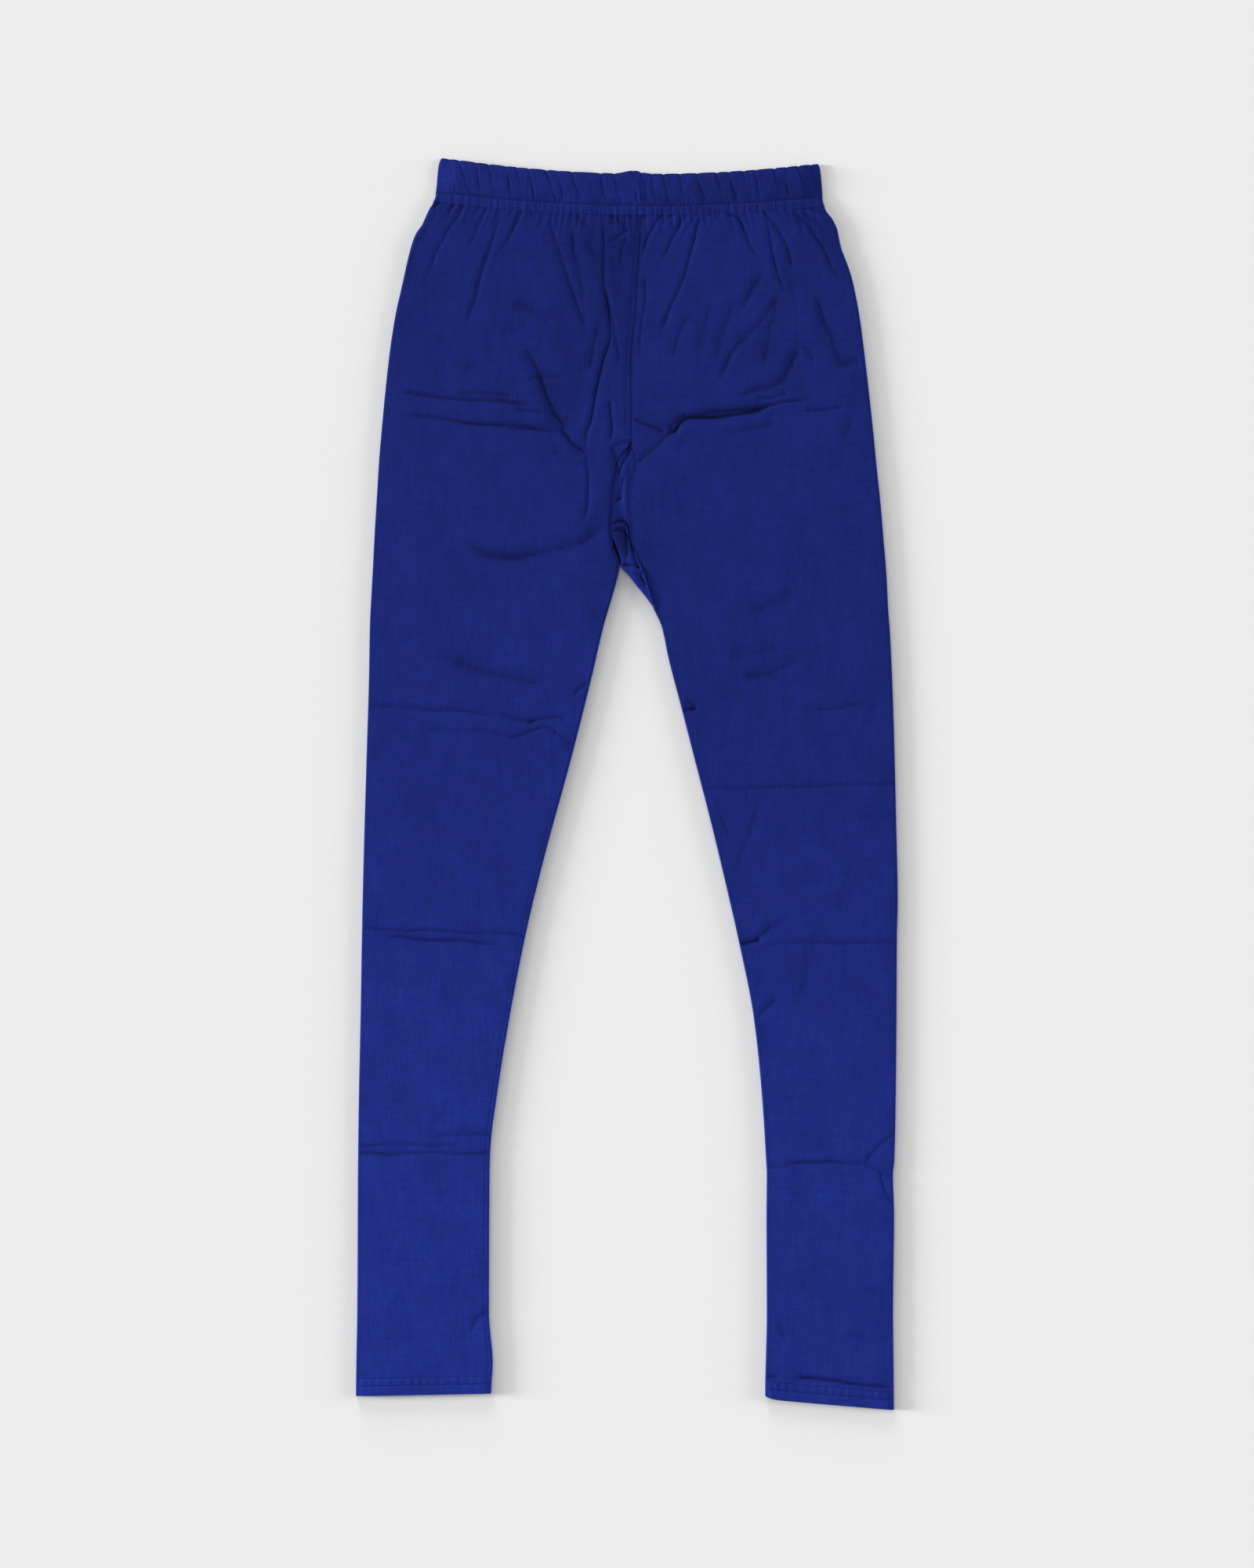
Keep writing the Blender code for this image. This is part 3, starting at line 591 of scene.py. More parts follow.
def crease_height(x, y, creases):
    """Sum of the creases at arrays of points, and the shade painted in their folds.

    A crease fades in over the start share of its length and out over the end share.
    """
    total = np.zeros((2,) + x.shape)
    for number, (x0, y0, x1, y1, bow, depth, width) in enumerate(creases["table"]):
        length = math.hypot(x1 - x0, y1 - y0)
        along_x = (x1 - x0) / length
        along_y = (y1 - y0) / length
        t = ((x - x0) * along_x + (y - y0) * along_y) / length
        across = (y - y0) * along_x - (x - x0) * along_y - 4.0 * bow * t * (1.0 - t)
        close = (t > 0.0) & (t < 1.0) & (np.abs(across) < CREASE_REACH * width)
        t = t[close]
        wander = 0.6 * np.sin(t * length / 9.0 + 1.7 * number) + 0.3 * np.sin(t * length / 4.0 + number)
        apart = np.abs(across[close] + wander)
        fade = ease(t / creases["start"]) * ease((1.0 - t) / creases["end"])
        total[:, close] += fade * one_crease(apart, t, length, number, depth * creases["share"], width)
    return total


def long_crease_height(x, y):
    """The same for the long creases, which run through points down or across a leg."""
    total = np.zeros((2,) + x.shape)
    for number, (depth, width, points) in enumerate(LONG_CREASES):
        run_x, run_y = np.abs(np.subtract(points[-1], points[0]))
        if run_y > run_x:
            line, along, beside = [(b, a) for a, b in points], y, x
        else:
            line, along, beside = points, x, y
        start, end = sorted((line[0][0], line[-1][0]))
        across = beside - through(line, along, 1)
        close = (along > start) & (along < end) & (np.abs(across) < CREASE_REACH * width)
        slope = through(line, along[close] + 1.0, 1) - through(line, along[close], 1)
        apart = np.abs(across[close]) / np.hypot(1.0, slope)
        t = (along[close] - start) / (end - start)
        fade = ease(t / LONG_TAPER) * ease((1.0 - t) / LONG_TAPER)
        total[:, close] += fade * one_crease(apart, t, math.hypot(run_x, run_y), number, depth, width)
    return total


def soft_shade(x, y):
    """Painted shade of the broad darker zones, less of it in the zones whose share is below zero."""
    return sum(share * near(x - middle_x, reach_x) * near(y - middle_y, reach_y)
               for middle_x, middle_y, reach_x, reach_y, share in SOFT_SHADE)


def all_creases(x, y):
    """Height of all creases of the legs, and the shade painted in their folds and broad zones."""
    short = crease_height(x, y, GATHERS) + crease_height(x, y, CREASES)
    height, painted_shade = short + long_crease_height(x, y)
    return height, painted_shade + soft_shade(x, y)


def soft_waves(x, y):
    """Broad, shallow unevenness of cloth that isn't pulled flat."""
    waves = 0.22 * np.sin(x / 23.0 + 1.3 * np.sin(y / 61.0)) * np.sin(y / 47.0 + 0.8)
    waves += 0.16 * np.sin(y / 19.0 + 1.1 * np.sin(x / 37.0) + x / 90.0)
    waves += 0.10 * np.sin(x / 9.5 + 0.9 * np.sin(y / 33.0)) * np.sin(y / 71.0)
    return waves


def pucker_height(x, y):
    """Fine gathers at the foot of the casing that fade out below it."""
    below = sagging(WAIST_FOOT, x) - y
    x = x * (1.0 - PUCKER_LEAN * below)
    total = np.zeros(x.shape)
    for pitch, height, length in PUCKERS:
        reach = length * (0.7 + 0.3 * np.sin(x / 11.0 + pitch))
        phase = 2.0 * math.pi * x / pitch + 1.9 * np.sin(x / 9.0)
        uneven = 0.6 + 0.4 * np.sin(x / 17.0 + pitch) * np.sin(x / 5.3)
        total += height * uneven * np.sin(phase) * ease(1.0 - below / reach)
    return total


def inner_edge(leg, y):
    """Inner edge of a leg's front: the centre seam above the crotch, the start of the bend below it."""
    drawn_in = BEND * ease(1.0 - (y - leg["crotch"]) / CROTCH_DRAW)
    return through(leg["sections"], y, 2) + leg["inward"] * (0.5 * SEAM_GAP + drawn_in)


def hem_edge(leg, x):
    """Height on the body of a hem's edge, which slants and may rise at one corner."""
    hem = leg["hem"]
    corner = hem["lift"] * np.exp(-np.abs(x - hem["corner"]) / CORNER_REACH)
    return hem["y"] + hem["slope"] * (x - hem["at"]) + corner


def fitted_y(leg, y, x):
    """Height of a row at x: rows near the waist follow the casing, and rows near the hem its slant."""
    top = leg["sections"][0][0]
    foot = leg["sections"][-1][0]
    at_top = sagging(WAIST_FOOT, x) - SEAM_GAP - top
    at_foot = hem_edge(leg, x) - foot
    return y + ease(1.0 - (top - y) / WAIST_FIT) * at_top + ease(1.0 - (y - foot) / HEM_FIT) * at_foot


def leg_front(leg, x, y):
    """Height of the outside of a leg's front at arrays of points, and the shade painted on each point."""
    outer = through(leg["sections"], y, 1) - leg["inward"] * BEND
    from_outer = np.abs(x - outer)
    from_inner = np.abs(x - inner_edge(leg, y))
    from_edge = np.minimum(from_outer, from_inner)
    into_step = (leg["crotch"] - y) / CROTCH_STEP + 0.5
    inner_height = SEAM_HEIGHT + (INSEAM_HEIGHT - SEAM_HEIGHT) * ease(into_step)
    height = FRONT_HEIGHT + soft_waves(x, y) * ease(from_edge / WAVE_INSET)
    height += (EDGE_HEIGHT - FRONT_HEIGHT) * np.exp(-from_outer / EDGE_ROUNDING)
    height += (inner_height - FRONT_HEIGHT) * np.exp(-from_inner / EDGE_ROUNDING)
    creases, painted_shade = all_creases(x, y)
    puckers = pucker_height(x, y)
    height += creases + puckers
    inseam = near(from_inner + BEND - INSEAM_INSET, INSEAM_WIDTH)
    inseam *= ease((leg["inseam_from"] - y) / INSEAM_FADE)
    height -= INSEAM_DEPTH * inseam
    # painted shade on the bends at the edges, along the inseam and the centre seam, as the casing's shadow
    # and in the pucker troughs
    outer_shade, inner_shade = leg["edge_shade"]
    below_crotch = ease((leg["crotch"] - y) / SEAM_FADE)
    painted_shade += outer_shade * near(from_outer, EDGE_SHADE_REACH) + INSEAM_SHADE * inseam
    painted_shade += inner_shade * below_crotch * near(from_inner, EDGE_SHADE_REACH)
    painted_shade += SEAM_SHADE * (1.0 - below_crotch) * near(from_inner, SEAM_WIDTH)
    # painted shadow of the casing, as uneven dark spots just below it
    casing_shadow_spots = np.clip(np.sin(x / 1.9 + 1.6 * np.sin(x / 5.3)), 0.0, 1.0) * (0.6 + 0.4 * np.sin(x / 13.0))
    painted_shade += CASING_SHADE * casing_shadow_spots * ease(1.0 - (sagging(WAIST_FOOT, x) - y) / CASING_SHADE_REACH)
    painted_shade += PUCKER_SHADE * np.clip(-puckers, 0.0, None)
    up = y - hem_edge(leg, x)
    height += HEM_RISE * ease((HEM_DEPTH - up) / HEM_STEP) * ease(from_edge / 4.0)
    height -= HEM_GROOVE * sum(near(up - row, HEM_GROOVE_WIDTH) for row in HEM_ROWS)
    height += HEM_RIPPLE * np.sin(x / 1.25 + np.sin(x / 7.0)) * near(up - np.mean(HEM_ROWS), 4.0)
    return np.maximum(height, LEAST_HEIGHT), np.minimum(painted_shade, DARKEST)


def back_lift(leg, x, y):
    """How far the back layer of a leg lifts off the ground at its creases, for arrays of points."""
    outer = through(leg["sections"], y, 1)
    inner = through(leg["sections"], y, 2)
    share = (x - outer) / (inner - outer)
    lift = 0.5 * np.clip(soft_waves(-x, y), 0.0, None)
    for at_outer, at_inner, depth, width in BACK_CREASES:
        line = at_outer + (at_inner - at_outer) * share + 1.5 * np.sin(x / 19.0 + at_outer)
        lift += depth * near(y - line, width, 1.5)
    below = sagging(WAIST_FOOT, x) - y
    ridges = np.clip(np.sin(2.0 * math.pi * x / BACK_GATHERS["pitch"] + 1.2 * np.sin(x / 17.0)), 0.0, 1.0)
    lift += BACK_GATHERS["height"] * ridges * ease(1.0 - below / BACK_GATHERS["length"])
    from_sides = np.minimum(np.abs(x - outer), np.abs(x - inner))
    from_ends = np.minimum(below, y - hem_edge(leg, x))
    return np.minimum(lift, BACK_LIFT) * ease((np.minimum(from_sides, from_ends) - 3.0) / 15.0)


def bend(centre, outward, height, low, reach):
    """Points round a side fold, down to low from just below height: x and z, rows by steps.

    centre and height are arrays over the rows, and outward is the sign of X from the cloth to the fold.
    """
    turn = math.pi * (0.5 - np.arange(1, BEND_STEPS + 1) / BEND_STEPS)
    x = centre[:, None] + outward * reach * np.cos(turn)
    return x, low + 0.5 * (height - low)[:, None] * (1.0 + np.sin(turn))


def flat_tube(front_x, front_z, back_x, back_z, low, reach):
    """x and z of the rows of a flattened tube: its front, one fold, its back and the other fold."""
    outward = np.sign(front_x[0, -1] - front_x[0, 0])
    end_x, end_z = bend(front_x[:, -1], outward, front_z[:, -1], low, reach)
    start_x, start_z = bend(front_x[:, 0], -outward, front_z[:, 0], low, reach)
    x = np.concatenate([front_x, end_x, back_x, start_x[:, ::-1]], axis=1)
    return x, np.concatenate([front_z, end_z, back_z, start_z[:, ::-1]], axis=1)


def seam_lean(z):
    """How far the cloth at a seam leans at heights z: not at all on top, and by LAP on the ground."""
    return LAP * (1.0 - np.clip(z / EDGE_HEIGHT, 0.0, 1.0))


def add_object(name, data):
    """Object in the scene for a mesh, a lamp or a camera."""
    made = bpy.data.objects.new(name, data)
    bpy.context.scene.collection.objects.link(made)
    return made


def add_mesh(name, points, faces, material, painted_shade=None):
    """Object with one closed mesh, its faces pointing out.

    The last argument is the shade painted on the first points, kept as the folds attribute. The others get
    none.
    """
    data = bpy.data.meshes.new(name)
    data.from_pydata((np.asarray(points) * MM).tolist(), [], faces)
    mesh = bmesh.new()
    mesh.from_mesh(data)
    bmesh.ops.recalc_face_normals(mesh, faces=mesh.faces)
    mesh.to_mesh(data)
    mesh.free()
    data.shade_smooth()
    data.set_sharp_from_angle(angle=math.radians(SHARP_ANGLE))
    if painted_shade is not None:
        shares = np.zeros(len(points), np.float32)
        shares[:painted_shade.size] = painted_shade.ravel()
        data.attributes.new("folds", "FLOAT", "POINT").data.foreach_set("value", shares)
    data.materials.append(material)
    return add_object(name, data)


def close_shell(outside, inside, kept_rows, open_until):
    """Vertices and faces of a shell from a fine grid outside and a grid inside that has only the kept rows.

    Columns go round, and open_until gives the row at which the faces of each column begin.
    """
    rows, columns = outside.shape[:2]
    points = np.concatenate([outside.reshape(-1, 3), inside.reshape(-1, 3)])
    faces = []

    def out(row, column):
        return row * columns + column % columns

    def within(k, column):
        return (rows + k) * columns + column % columns

    for c, begin in enumerate(open_until):
        faces += [(out(row, c), out(row, c + 1), out(row + 1, c + 1), out(row + 1, c))
                  for row in range(begin, rows - 1)]
        faces += [(within(k + 1, c), within(k + 1, c + 1), within(k, c + 1), within(k, c))
                  for k in range(kept_rows.index(begin), len(kept_rows) - 1)]
        if begin < rows - 1:
            for row in (begin, rows - 1):
                k = kept_rows.index(row)
                faces.append((out(row, c + 1), out(row, c), within(k, c), within(k, c + 1)))
        first, last = sorted(kept_rows.index(row) for row in (begin, open_until[c - 1]))
        for k in range(first, last):
            here, below = kept_rows[k], kept_rows[k + 1]
            faces += [(out(row, c), out(row + 1, c), within(k, c)) for row in range(here, below)]
            faces.append((out(below, c), within(k + 1, c), within(k, c)))
    return points, faces


def packed(first, last, count, density):
    """Places from first to last, closer together where density, a function of the place, is high."""
    fine = np.linspace(first, last, 4000)
    dense = density(fine)
    filled = np.concatenate([[0.0], np.cumsum(0.5 * (dense[1:] + dense[:-1]))])
    return np.interp(np.linspace(0.0, filled[-1], count), filled, fine)


def row_density(y):
    """How close together a leg's rows lie: closer in the bands with many creases across."""
    return 1.0 + sum(extra * near(y - middle, half) for middle, half, extra in DENSE_ROWS)


def column_density(share):
    """How close together a leg's columns lie: closer near the inner edge."""
    return 1.0 + DENSE_MIDDLE * near(share, DENSE_REACH)


def make_leg(leg, material):
    """Thin shell of one leg: a tube below the crotch, open at the centre seams above it."""
    inward = leg["inward"]
    top = leg["sections"][0][0]
    foot = leg["sections"][-1][0]
    rows = packed(top, foot, LEG_ROWS, row_density)
    crotch_row = int(np.argmin(np.abs(rows - leg["crotch"])))
    rows[crotch_row] = leg["crotch"]
    fold = through(leg["sections"], rows, 1) - inward * BEND
    inseam = through(leg["sections"], rows, 2) + inward * (0.5 * SEAM_GAP + BEND)
    inner = np.where(rows > leg["crotch"], inner_edge(leg, rows), inseam)
    across = (fold - inner)[:, None]
    front_x = inner[:, None] + across * packed(0.0, 1.0, FRONT_COLUMNS + 1, column_density)
    front_z, front_painted_shade = leg_front(leg, front_x, fitted_y(leg, rows[:, None], front_x))
    back_x = fold[:, None] - across * np.arange(1, BACK_COLUMNS) / BACK_COLUMNS
    lift = back_lift(leg, back_x, fitted_y(leg, rows[:, None], back_x))
    above_crotch = ease((rows - leg["crotch"]) / CROTCH_DRAW)[:, None]
    below_casing = np.clip(1.0 - (top - rows) / LAP_REACH, 0.0, 1.0)[:, None]

    def ring(front, low, reach):
        x, z = flat_tube(front_x, front, back_x, low + lift, low, reach)
        y = fitted_y(leg, rows[:, None], x) - seam_lean(z) * below_casing
        beside_seam = np.clip(1.0 - np.abs(x - inner[:, None]) / LAP_REACH, 0.0, 1.0)
        return np.stack([x + seam_lean(z) * beside_seam * above_crotch, y, z], axis=2)

    near_hem = ease(1.0 - (rows - foot) / HEM_DEPTH)[:, None]
    hollow = HOLLOW_HEIGHT + (front_z - CLOTH - HOLLOW_HEIGHT) * near_hem
    outside = ring(front_z, 0.0, BEND)
    inside = ring(hollow, CLOTH, BEND - CLOTH)
    kept = sorted(set(range(0, LEG_ROWS, HOLLOW_STEP)) | {crotch_row, LEG_ROWS - 1})
    column = np.arange(outside.shape[1])
    open_until = np.where(column < FRONT_COLUMNS + BEND_STEPS + BACK_COLUMNS, 0, crotch_row).tolist()
    points, faces = close_shell(outside, inside[kept], kept, open_until)
    # painted shade on the bends at the side folds, heavier on those that face west
    near_outer = column < FRONT_COLUMNS + BEND_STEPS + BACK_COLUMNS // 2
    painted_shade = np.clip(1.5 * outside[:, :, 2] / EDGE_HEIGHT - 0.3, 0.0, 1.0)
    painted_shade *= np.where(near_outer, *leg["edge_shade"])
    painted_shade[:, :FRONT_COLUMNS + 1] = front_painted_shade
    return add_mesh(leg["name"], points, faces, material, painted_shade)


def gather_relief(x, place):
    """Height of the casing's gathers, and the shade painted in their grooves, at the stitch row, at the ends
    and top edge, and in the pucker troughs below the stitch row.

    Round ridges stand between troughs that lean with the place up the casing.
    """
    lean = (place - CASING_STITCHES) / (1.0 - CASING_STITCHES)
    relief = np.zeros(x.shape)
    for (top, foot, depth), (next_top, next_foot, next_depth) in zip(CASING_TROUGHS, CASING_TROUGHS[1:]):
        left = foot + (top - foot) * lean
        right = next_foot + (next_top - next_foot) * lean
        t = (x - left) / (right - left)
        shape = 0.27 * np.sin(math.pi * np.clip(t, 0.0, 1.0)) ** 0.6 - 0.15
        height = (depth + (next_depth - depth) * t) * np.minimum((right - left) / 12.0, 1.0)
        relief = np.where((t >= 0.0) & (t < 1.0), height * shape, relief)
    groove = np.zeros(x.shape)
    for top, foot, depth in CASING_TROUGHS:
        apart = x - foot - (top - foot) * lean - 0.5 * np.sin(place * 7.0 + foot)
        groove += depth * near(apart, 0.8, 1.4) * (0.65 + 0.35 * np.sin(place * 9.0 + top))
    relief -= 0.5 * groove
    fine = np.sin(2.0 * math.pi * (x + 6.0 * lean) / 4.7 + 2.1 * np.sin(x / 8.3) + 1.3 * np.sin(x / 3.1))
    groove += 0.4 * np.clip(fine, 0.0, 1.0) ** 4
    above = ease((place - CASING_STITCHES) / 0.12) * ease((1.08 - place) / 0.2)
    below = ease((CASING_STITCHES - place) / 0.06)
    stitched = near(place - CASING_STITCHES, 0.035) * (0.75 + 0.25 * np.sin(x / 2.6 + np.sin(x / 9.0)))
    puckers = pucker_height(x, sagging(WAIST_FOOT, x))
    relief = relief * above + 0.5 * puckers * below - 0.3 * stitched
    # painted shade at the casing's two ends and along its top edge
    from_left = x - CASING_ENDS[0]
    painted_edge_shade = np.exp(-from_left / 2.0) + 0.5 * np.exp(-from_left / 8.0) + np.exp(-(CASING_ENDS[1] - x) / 2.0)
    painted_edge_shade += near(1.0 - place, 0.04)
    folds = 0.6 * groove * above + 0.45 * stitched + 0.5 * painted_edge_shade
    folds += PUCKER_SHADE * np.clip(-puckers, 0.0, None) * below
    return relief, np.minimum(folds, DARKEST_BAND)


def casing_height(x, place):
    """Height of the outside of the casing's front."""
    left, right, level = (through(CASING_SECTIONS, place, column) for column in (1, 2, 3))
    near_side = ease(np.minimum(x - left, right - x) / CASING_ROUNDING)
    side_height = EDGE_HEIGHT + (CASING_SIDE - EDGE_HEIGHT) * ease(place / 0.4)
    return side_height + (level - side_height + gather_relief(x, place)[0]) * near_side


def casing_y(x, place):
    """Height on the body of a place up the casing."""
    foot = sagging(WAIST_FOOT, x)
    return foot + (sagging(WAIST_TOP, x) - foot) * place


def make_waistband(material):
    """Casing with the elastic in it: a flattened band, gathered on its front."""
    fine_rows = np.linspace(0.0, FINE_CASING, FINE_CASING_ROWS, endpoint=False)
    other_rows = np.linspace(FINE_CASING, 1.0, CASING_ROWS - FINE_CASING_ROWS)
    places = np.concatenate([fine_rows, other_rows])[:, None]
    left, right = through(CASING_SECTIONS, places, 1), through(CASING_SECTIONS, places, 2)
    start = left + CASING_BEND
    across = right - CASING_BEND - start
    front_x = start + across * np.linspace(0.0, 1.0, CASING_COLUMNS + 1)
    front_place = np.repeat(places, CASING_COLUMNS + 1, axis=1)
    front_z = casing_height(front_x, front_place)
    back_x = start + across * (1.0 - np.arange(1, CASING_BACK_COLUMNS) / CASING_BACK_COLUMNS)
    rise = 2.0 * gather_relief(front_x, np.minimum(front_place, 0.9))[0] * ease((front_place - 0.7) / 0.3)
    rise += SEAM_HUMP["height"] * near(front_x - SEAM_HUMP["x"], SEAM_HUMP["reach"]) * ease(front_place)
    from_end = ease(np.minimum(back_x - left, right - back_x) / 15.0)
    back_place = np.repeat(places, CASING_BACK_COLUMNS - 1, axis=1)
    troughs = 0.8 * gather_relief(-back_x, back_place)[1] * from_end * ease(places / 0.3)

    def ring(front, low, reach, lift):
        x, z = flat_tube(front_x, front, back_x, low + lift, low, reach)
        y = casing_y(x, places)
        y[:, :CASING_COLUMNS + 1] += rise
        return np.stack([x, y - seam_lean(z) * np.clip(1.0 - places / 0.5, 0.0, 1.0), z], axis=2)

    level = np.full(front_z.shape, CASING_WALL + CASING_HOLLOW)
    outside = ring(front_z, 0.0, CASING_BEND, troughs)
    inside = ring(level, CASING_WALL, CASING_BEND - CASING_WALL, np.zeros(troughs.shape))
    points, faces = close_shell(outside, inside, list(range(CASING_ROWS)), [0] * outside.shape[1])
    # painted shade on the bends at the casing's ends
    painted_shade = BAND_EDGE_SHADE * np.clip(outside[:, :, 2] / CASING_BEND - 0.3, 0.0, 1.0)
    painted_shade[:, :CASING_COLUMNS + 1] = gather_relief(front_x, front_place)[1]
    return add_mesh("waistband_cloth", points, faces, material, painted_shade)


def gusset_front(x, y):
    """Height of the outside of the gusset's bunched front, and the shade painted on it."""
    bunch = 0.3 * np.sin(x / 2.1 + y / 17.0) + 0.25 * np.sin(y / 6.0 + x / 5.0)
    folds, painted_shade = crease_height(x, y, GUSSET_CREASES)
    painted_shade += HOLLOW_SHADE * near(y - GUSSET_HOLLOW, 24.0)
    height = GUSSET_HEIGHT + GUSSET_RISE * ease((205.0 - y) / 30.0) + bunch + folds
    return np.maximum(height, HOLLOW_HEIGHT + 0.4), np.minimum(painted_shade, DARKEST_GUSSET)


def make_gusset(material):
    """Small piece at the crotch: folded along its lower edge, open to the two seams above."""
    crotch = RIGHT_LEG["crotch"]
    rows = np.linspace(GUSSET_TOP, GUSSET_FOOT, GUSSET_ROWS)
    crotch_row = int(np.argmin(np.abs(rows - crotch)))
    rows[crotch_row] = crotch
    start = inner_edge(LEFT_LEG, rows) - SEAM_GAP
    fold = through(GUSSET_FOLD_EDGE, rows, 1) + BEND
    end = np.where(rows > crotch, inner_edge(RIGHT_LEG, rows) + SEAM_GAP, fold)
    front_x = start[:, None] + (end - start)[:, None] * np.linspace(0.0, 1.0, GUSSET_COLUMNS + 1)
    front_z, front_painted_shade = gusset_front(front_x, np.repeat(rows[:, None], GUSSET_COLUMNS + 1, axis=1))
    above_crotch = ease((rows - crotch) / CROTCH_DRAW)[:, None]

    def ring(front, low, reach):
        fold_x, fold_z = bend(end, -1.0, front[:, -1], low, reach)
        x = np.concatenate([front_x, fold_x, start[:, None]], axis=1)
        z = np.concatenate([front, fold_z, np.full((GUSSET_ROWS, 1), low)], axis=1)
        y = np.repeat(rows[:, None], x.shape[1], axis=1)
        return np.stack([x + seam_lean(z) * above_crotch, y, z], axis=2)

    outside = ring(front_z, 0.0, BEND)
    inside = ring(np.full(front_z.shape, HOLLOW_HEIGHT), CLOTH, BEND - CLOTH)
    painted_shade = np.zeros(outside.shape[:2])
    painted_shade[:, :GUSSET_COLUMNS + 1] = front_painted_shade
    open_until = [0] * GUSSET_COLUMNS + [crotch_row] * BEND_STEPS + [0, GUSSET_ROWS - 1]
    points, faces = close_shell(outside, inside, list(range(GUSSET_ROWS)), open_until)
    return add_mesh("gusset_cloth", points, faces, material, painted_shade)


def capsule(start, end, radius):
    """Points and faces of a short thread with round ends, from start to end."""
    start = np.array(start, float)
    end = np.array(end, float)
    along = (end - start) / np.linalg.norm(end - start)
    side = np.cross(along, (0.0, 0.0, 1.0))
    side /= np.linalg.norm(side)
    up = np.cross(side, along)
    rings = [(start, 0.45), (start + along * radius, 1.0), (end - along * radius, 1.0), (end, 0.45)]
    points = []
    for centre, size in rings:
        for k in range(6):
            turn = math.pi * k / 3.0
            points.append(centre + radius * size * (side * math.cos(turn) + up * math.sin(turn)))
    faces = [tuple(range(6))[::-1], tuple(range(18, 24))]
    for ring in range(3):
        for k in range(6):
            a, b = ring * 6 + k, ring * 6 + (k + 1) % 6
            faces.append((a, b, b + 6, a + 6))
    return points, faces


def sew(name, lines, kind, material):
    """Stitches along lines of points that lie on the cloth, as one object."""
    points = []
    faces = []
    for line in lines:
        line = np.array(line, float)
        runs = np.concatenate([[0.0], np.cumsum(np.linalg.norm(np.diff(line, axis=0), axis=1))])
        for k in range(int(runs[-1] // kind["pitch"])):
            ends = (k + 0.15) * kind["pitch"], (k + 0.15) * kind["pitch"] + kind["length"]
            first, second = [[np.interp(e, runs, line[:, i]) for i in range(3)] for e in ends]
            thread, sides = capsule(first, second, kind["radius"])
            faces += [tuple(n + len(points) for n in side) for side in sides]
            points += thread
    return add_mesh(name, points, faces, material)


def on_leg(leg, xs, ys):
    """Points on the front of a leg."""
    return np.stack([xs, ys, leg_front(leg, xs, ys)[0] + STITCH_LIFT], axis=1)


def hem_lines(leg):
    """The two rows of stitches round the front of a hem."""
    foot = leg["sections"][-1]
    inset = leg["inward"] * HEM_STITCH_INSET
    xs = np.linspace(foot[2] + inset, foot[1] - inset, 60)
    return [on_leg(leg, xs, hem_edge(leg, xs) + row) for row in HEM_ROWS]


def casing_lines():
    """The stitch row of the casing, and the short rows over its centre seam."""
    lines = []
    for x0, x1, place0, place1, count in CASING_LINES:
        xs = np.linspace(x0, x1, count)
        place = np.linspace(place0, place1, count)
        lines.append(np.stack([xs, casing_y(xs, place), casing_height(xs, place) + STITCH_LIFT], axis=1))
    return lines


def topstitch_line():
    """The row beside the centre seam, on the right leg."""
    ys = np.linspace(*TOPSTITCHES, 120)
    return on_leg(RIGHT_LEG, through(RIGHT_SECTIONS, ys, 2) - TOPSTITCH_INSET, ys)


def gusset_lines():
    """Rows of stitches beside the gusset's two seams."""
    ys = np.linspace(*GUSSET_STITCHES, 60)
    return [on_leg(leg, inner_edge(leg, ys) + leg["inward"] * GUSSET_STITCH_INSET, ys)
            for leg in (RIGHT_LEG, LEFT_LEG)]


def node(tree, kind, **values):
    """Add a node. A value that is a socket is linked, and others are set as inputs or properties."""
    made = tree.nodes.new(kind)
    for name, value in values.items():
        if isinstance(value, bpy.types.NodeSocket):
            tree.links.new(value, made.inputs[name])
        elif name in made.inputs:
            made.inputs[name].default_value = value
        else:
            setattr(made, name, value)
    return made


def stretched_noise(tree, place, stretch, scale, detail):
    """Noise that is drawn out along the axes where stretch is small."""
    mapping = node(tree, "ShaderNodeMapping", Vector=place, Scale=stretch)
    noise = node(tree, "ShaderNodeTexNoise", Vector=mapping.outputs["Vector"], Scale=scale, Detail=detail)
    return noise.outputs["Fac"]


def spread(tree, value, from_min, from_max, to_min, to_max):
    """A number moved from one range to another."""
    ends = {"From Min": from_min, "From Max": from_max, "To Min": to_min, "To Max": to_max}
    return node(tree, "ShaderNodeMapRange", Value=value, **ends).outputs["Result"]


def times(tree, first, second):
    """Product of two numbers."""
    product = node(tree, "ShaderNodeMath", operation="MULTIPLY")
    tree.links.new(first, product.inputs[0])
    tree.links.new(second, product.inputs[1])
    return product.outputs[0]


def principled(name, inputs):
    """Material, its node tree and its shader, with the shader's inputs by name."""
    material = bpy.data.materials.new(name)
    material.use_nodes = True
    shader = material.node_tree.nodes["Principled BSDF"]
    for key, value in inputs.items():
        shader.inputs[key].default_value = value
    return material, material.node_tree, shader


def dye_and_painted_light(tree, shader, colour, level):
    """Give a shader a colour that a level makes brighter or darker: in the jersey the level holds painted
    light and shade as well as the cloth's own unevenness.
    """
    tint = node(tree, "ShaderNodeVectorMath", operation="SCALE", Vector=colour, Scale=level)
    tree.links.new(tint.outputs["Vector"], shader.inputs["Base Color"])


